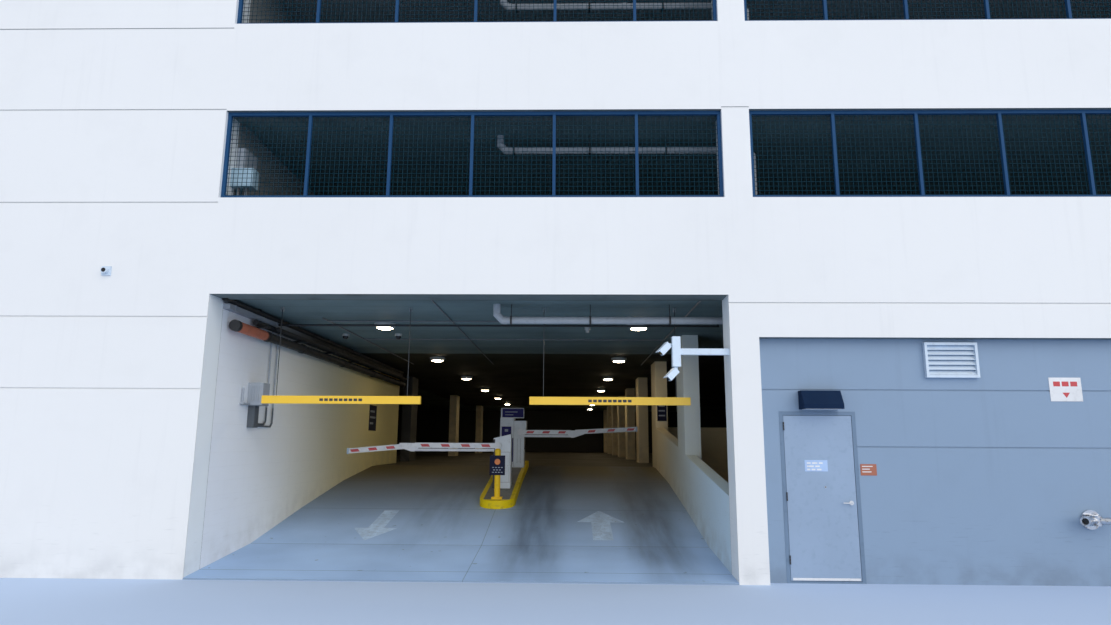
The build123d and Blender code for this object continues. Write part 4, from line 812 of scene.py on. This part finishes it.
add_fitting("main_red_length", pipe_red,
            rods=[main_rod(red_start, red_end - red_start, sleeve_radius)])
couplings = ((red_start - 0.09, 0.09), (red_end - 0.04, 0.08), (3.2, 0.1), (5.6, 0.1), (8, 0.1))
add_fitting("main_couplings", pipe_black,
            rods=[main_rod(red_end, main_end - red_end, lagging_radius)]
            + [main_rod(start_y, length, coupling_radius) for start_y, length in couplings])
drain_drops = (0.244, 0.244, 0.47)
drain_joints = [(at(joint_x, 1.0, ceiling + storey * level - drop), (0.06, 0, 0), 0.0615, 24)
                for level, drop in enumerate(drain_drops) for joint_x in (4.02, 5.9, 7.76)]
add_fitting("drain_joints", pipe_grey, rods=drain_joints)
conduit_steel = enamel("conduit_steel", (0.2, 0.21, 0.22), (0.1, 0.1, 0.1))
conduit_end = 9.4
conduits = [(at(conduit_x, start_y, ceiling - radius), (0, conduit_end - start_y, 0), radius, 10)
            for conduit_x, start_y, radius in ((0.85, 2.2, 0.014), (3.0, 0.5, 0.011), (6.95, 0.45, 0.014))]
conduits += [(at(0.85, cross_y, ceiling - 0.011), (6.1, 0, 0), 0.013, 10) for cross_y in (2.5, 4.7)]
add_fitting("ceiling_conduits", conduit_steel, rods=conduits)

# Services in the corner between the lane wall and the deck: a galvanised cable tray that turns black deeper
# in as painted shade, and three black pipes on struts and clips above the fire main, whose black also fills
# the shaded corner as painted shade.
tray_steel, place = new_finish("tray_steel", Metallic=0.3)
(place.axis(1) - street_y).fade(1.5, 4.5).coat((0.34, 0.37, 0.42), (0.03, 0.03, 0.03))
place.noise(20).dull(0.2, 0.45)
tray = [(at(0, 0.42, ceiling - 0.18), at(0.1, main_end, ceiling - 0.105))]
tray += [(at(0, clip_y, ceiling - 0.186), at(0.106, clip_y + 0.03, ceiling - 0.1))
         for clip_y in (0.6, 2.1, 3.9, 5.7, 7.5, 9.2)]
add_fitting("cable_tray", tray_steel, blocks=tray)
corner_runs = ((0.07, 0.052, 0.04, 0.3), (0.1, 0.236, 0.045, 1.3), (0.215, 0.251, 0.03, 1.9))
corner_rods = [(at(pipe_x, start_y, ceiling - drop), (0, main_end - start_y, 0), radius, 20)
               for pipe_x, drop, radius, start_y in corner_runs]
struts = []
for strut_y in (1.45, 3.1, 4.75, 6.4, 8.05):
    struts.append((at(0, strut_y, ceiling - 0.306), at(0.26, strut_y + 0.035, ceiling - 0.281)))
    struts.append((at(0.03, strut_y, ceiling - 0.06), at(0.11, strut_y + 0.03, ceiling)))
add_fitting("corner_pipes", pipe_black, rods=corner_rods, blocks=struts)

# Electrical boxes and conduits: steel under grey paint, screwed to the lane wall, with lids and cooling
# ribs. The lower box and its bends are darker, and a pale junction box hangs in the corner upstairs.
box_grey, place = new_finish("box_grey", Specular_IOR_Level=0.4)
dust = place.noise(14, 5).fade(0.5, 0.78)
place.axis(2).fade(2.35, 2.31).coat((0.38, 0.42, 0.47), (0.09, 0.105, 0.12))
dust.dull(0.2, 0.5)
(place.noise(160, 2) * 0.6 - dust * 0.2).raise_surface(0.0006)
give(box_grey, "electrical_boxes")
junction_pale = enamel("junction_pale", (0.42, 0.6, 0.72), (0.3, 0.4, 0.46))
add_fitting("upper_junction_box", junction_pale, edge=0.002,
            blocks=[(at(0, 0.3, 5.5), at(0.33, 0.5, 5.78)), (at(0.02, 0.296, 5.52), at(0.31, 0.3, 5.76))])
add_fitting("upper_junction_pipes", conduit_steel,
            rods=[(at(pipe_x, 0.4, 5.3), (0, 0, 0.21), 0.02, 12) for pipe_x in (0.08, 0.2)])
lid_thickness, end_lid_y, rib_depth = 0.004, 1.446, 0.012
side_lids = ((0.24, 1.465, 1.685, 2.345, 2.67), (0.11, 1.52, 1.65, 2.0, 2.32),
             (0.12, 0.455, 0.855, 5.79, 6.14))
lids = [(at(reach, low_y, low_z), at(reach + lid_thickness, high_y, high_z))
        for reach, low_y, high_y, low_z, high_z in side_lids]
lids.append((at(0.02, end_lid_y, 2.35), at(0.22, end_lid_y + lid_thickness, 2.665)))
lids += [(at(rib_x, end_lid_y - rib_depth, 2.39), at(rib_x + 0.014, end_lid_y, 2.63))
         for rib_x in (0.055, 0.093, 0.131, 0.169)]
add_fitting("box_lids", box_grey, blocks=lids, edge=0.0015)
screws = [disc(at(screw_x, end_lid_y, screw_z), 0.003, 0.006, 10)
          for screw_x in (0.035, 0.205) for screw_z in (2.365, 2.65)]
add_fitting("box_screws", satin_steel, rods=screws)

# Cameras, their arm and the louvre: white powder-coated metal, with dark lenses behind their hoods. The two
# on the arm look down along the lanes, and the one on the wall looks out to the street.
give(enamel("fixture_white", (0.64, 0.755, 0.88), (0.45, 0.5, 0.56), gloss=0.6),
     "camera_arm", "cameras", "wall_camera", "louvre")
lens_black = enamel("lens_black", (0.008, 0.009, 0.012), (0.02, 0.02, 0.02), gloss=0.9)
camera_radius, lens_place = 0.03, 0.173
aim = Vector((-0.68, -0.2, -0.7)).normalized()
camera_rods = [(at(*tail) + aim * lens_place, aim * 0.006, camera_radius, 24)
               for tail in ((6.406, 0.12, 3.124), (6.504, 0.12, 2.7745))]
wall_lens = centre("wall_camera")
wall_lens.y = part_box("wall_camera")[0].y + 0.001
camera_rods.append(disc(wall_lens, 0.004, camera_radius, 24))
add_fitting("camera_lenses", lens_black, rods=camera_rods)

# Wall lamp over the service door: a dark bronze housing with a slanting front, screwed to the wall, over a
# frosted glass.
give(enamel("lamp_dark", (0.003, 0.016, 0.05), (0.01, 0.03, 0.075), gloss=0.3, shine=0.12), "wall_lamp")
lamp_low, lamp_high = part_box("wall_lamp")
lamp_rim, glass_drop = 0.03, 0.004
add_fitting("lamp_glass", plate_white,
            blocks=[((lamp_low.x + lamp_rim, lamp_low.y + 0.025, lamp_low.z - glass_drop),
                     (lamp_high.x - lamp_rim, lamp_high.y - lamp_rim, lamp_low.z))])

# Fire inlet: polished brass body under chrome, dulled by weather. The left branch is open, with a black disc
# inside it as painted shade, and the right one has a red cap with its lugs.
inlet_chrome, place = new_finish("inlet_chrome", Metallic=1)
pitted = place.noise(30, 5).fade(0.5, 0.75)
pitted.coat((0.62, 0.64, 0.68), (0.25, 0.24, 0.24))
pitted.dull(0.35, 0.18)
give(inlet_chrome, "fire_inlet")
cap_red = enamel("cap_red", (0.5, 0.03, 0.03), (0.3, 0.06, 0.05), gloss=0.6)
splay = radians(60)
branch_length, swivel_radius, mouth_depth = 0.26, 0.064, 0.044
cap_depth, lug_start, lug_end, knob_depth = 0.022, 0.055, 0.078, 0.012
inlet_middle = centre("fire_inlet")
inlet_middle.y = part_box("fire_inlet")[0].y + branch_length * cos(splay) + swivel_radius * sin(splay)
left_way, right_way = (Vector((heading * sin(splay), -cos(splay), 0)) for heading in (-1, 1))
# A black disc in the open branch: painted shade in its bore.
throat_shade = inlet_middle + left_way * (branch_length - mouth_depth)
add_fitting("inlet_throat", lens_black, rods=[(throat_shade, left_way * 0.003, 0.0405, 24)])
cap_start = inlet_middle + right_way * branch_length
cap_rods = [(cap_start, right_way * cap_depth, 0.06, 24)]
for turn in (0, 90, 180, 270):
    spoke = Matrix.Rotation(radians(turn), 3, right_way) @ Vector((0, 0, 1))
    lug_foot = cap_start + right_way * cap_depth / 2 + spoke * lug_start
    cap_rods.append((lug_foot, spoke * (lug_end - lug_start), 0.009, 12))
cap_rods.append((cap_start + right_way * cap_depth, right_way * knob_depth, 0.018, 16))
add_fitting("inlet_cap", cap_red, rods=cap_rods)

# Plates and signs of thin painted metal with plain generic marks: one high on the service wall, one beside
# the door, one on the lane wall and one on a column.
mark_red = enamel("mark_red", (0.6, 0.05, 0.06), (0.4, 0.1, 0.1), chips=0.1)
plate_orange = enamel("plate_orange", (0.42, 0.13, 0.07), (0.3, 0.14, 0.1))
high_thickness, side_thickness = 0.006, 0.005
add_fitting("high_plate", plate_white, edge=0.001,
            blocks=plates(wall_foot, [(11.545, 11.975, 2.372, 2.694, 0, high_thickness)]))
squares = mark_line(11.6, 2.575, 0.065, -high_thickness, 0.0015, (0.09,) * 3, gap=0.025)
pointer = [(lane_x + 11.71, 2.49), (lane_x + 11.76, 2.42), (lane_x + 11.81, 2.49)]
add_fitting("high_plate_marks", mark_red, blocks=plates(wall_foot, squares),
            prisms=[(pointer, wall_y - high_thickness - 0.0015, wall_y - high_thickness)])
add_fitting("side_plate", plate_orange, edge=0.001,
            blocks=plates(wall_foot, [(8.928, 9.142, 1.377, 1.526, 0, side_thickness)]))
side_lines = []
for line, length in enumerate((0.14, 0.1, 0.12)):
    side_lines += mark_line(8.95, 1.49 - line * 0.036, 0.012, -side_thickness, 0.0012, (length,))
add_fitting("side_plate_marks", plate_white, blocks=plates(wall_foot, side_lines))
add_fitting("dark_signs", plate_navy, edge=0.001,
            blocks=[(at(0, 8.4, 2.06), at(0.006, 9.07, 2.7)), (at(7.264, 8.664, 2.34), at(7.5, 8.67, 2.83))])
sign_marks = [(at(0.006, 8.48, 2.52 - line * 0.15), at(0.0075, 8.48 + length, 2.57 - line * 0.15))
              for line, length in enumerate((0.4, 0.5, 0.3))]
sign_marks += [(at(7.3, 8.6625, mark_z), at(7.46, 8.664, mark_z + 0.035)) for mark_z in (2.7, 2.58, 2.46)]
add_fitting("sign_marks", mark_grey, blocks=sign_marks)

# Roof deck: bay lines in worn white road paint, rolled on the concrete along both sides and down the
# middle.
roof_low, roof_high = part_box("level_4_deck")
stall_length, stall_width, line_half = 5.0, 2.6, 0.05
roof_paint = line_paint("roof_paint", (0.72, 0.75, 0.78), (0.55, 0.57, 0.58))
stall_count = int((roof_high.y - roof_low.y) / stall_width)
first_line = (roof_low.y + roof_high.y - stall_count * stall_width) / 2
painted_z = roof_high.z + paint_thickness
bay_lines = []
for number in range(stall_count + 1):
    line_y = first_line + number * stall_width
    for start_x, end_x in ((roof_low.x, roof_low.x + stall_length), (-stall_length, stall_length),
                           (roof_high.x - stall_length, roof_high.x)):
        bay_lines.append(((start_x, line_y - line_half, roof_high.z), (end_x, line_y + line_half, painted_z)))
bay_lines.append(((-line_half, first_line, roof_high.z), (line_half, line_y, painted_z)))
add_fitting("roof_bay_lines", roof_paint, blocks=bay_lines)

# Studio: a pale floor and soft light from all round, with a broad key light from the street side.
# The floor is no part of the building.
floor_finish, place = new_finish("studio_floor", Base_Color=(0.52, 0.64, 0.84, 1), Roughness=0.9,
                                 Specular_IOR_Level=0.1)
floor_mesh = bmesh.new()
bmesh.ops.create_grid(floor_mesh, x_segments=1, y_segments=1, size=400)
floor = add_object("studio_floor", floor_mesh, floor_finish)

world = bpy.data.worlds.new("studio")
bpy.context.scene.world = world
world.use_nodes = True
sky = world.node_tree.nodes["Background"]
sky.inputs["Color"].default_value = (0.9, 0.94, 1.0, 1)
sky.inputs["Strength"].default_value = 0.76

key_data = bpy.data.lights.new("key", "SUN")
key_data.energy = 1.9
key_data.angle = radians(80)
key_data.color = (1.0, 0.97, 0.93)
key = bpy.data.objects.new("key", key_data)
key.rotation_euler = Vector((-0.55, 1.0, -0.33)).to_track_quat("-Z", "Y").to_euler()
bpy.context.collection.objects.link(key)

# Camera: at the photograph's place across the street, level with a driver's eyes and tilted up.
# Its lens follows from the focal length in pixels of the photograph, which is 1111 pixels wide.
eye = at(5.038, -9.726, 1.781)
pitch, yaw, roll = radians(10.303), radians(-1.151), radians(0.338)
focal_pixels, frame_pixels = 717.217, 1111
turned = Matrix.Rotation(-yaw, 4, "Z") @ Matrix.Rotation(radians(90) + pitch, 4, "X")
camera_data = bpy.data.cameras.new("street_camera")
camera_data.lens = focal_pixels / frame_pixels * camera_data.sensor_width
camera_data.clip_end = 500
camera = bpy.data.objects.new("street_camera", camera_data)
camera.matrix_world = Matrix.Translation(eye) @ turned @ Matrix.Rotation(roll, 4, "Z")
bpy.context.collection.objects.link(camera)
bpy.context.scene.camera = camera
bpy.context.scene.view_settings.view_transform = "Standard"
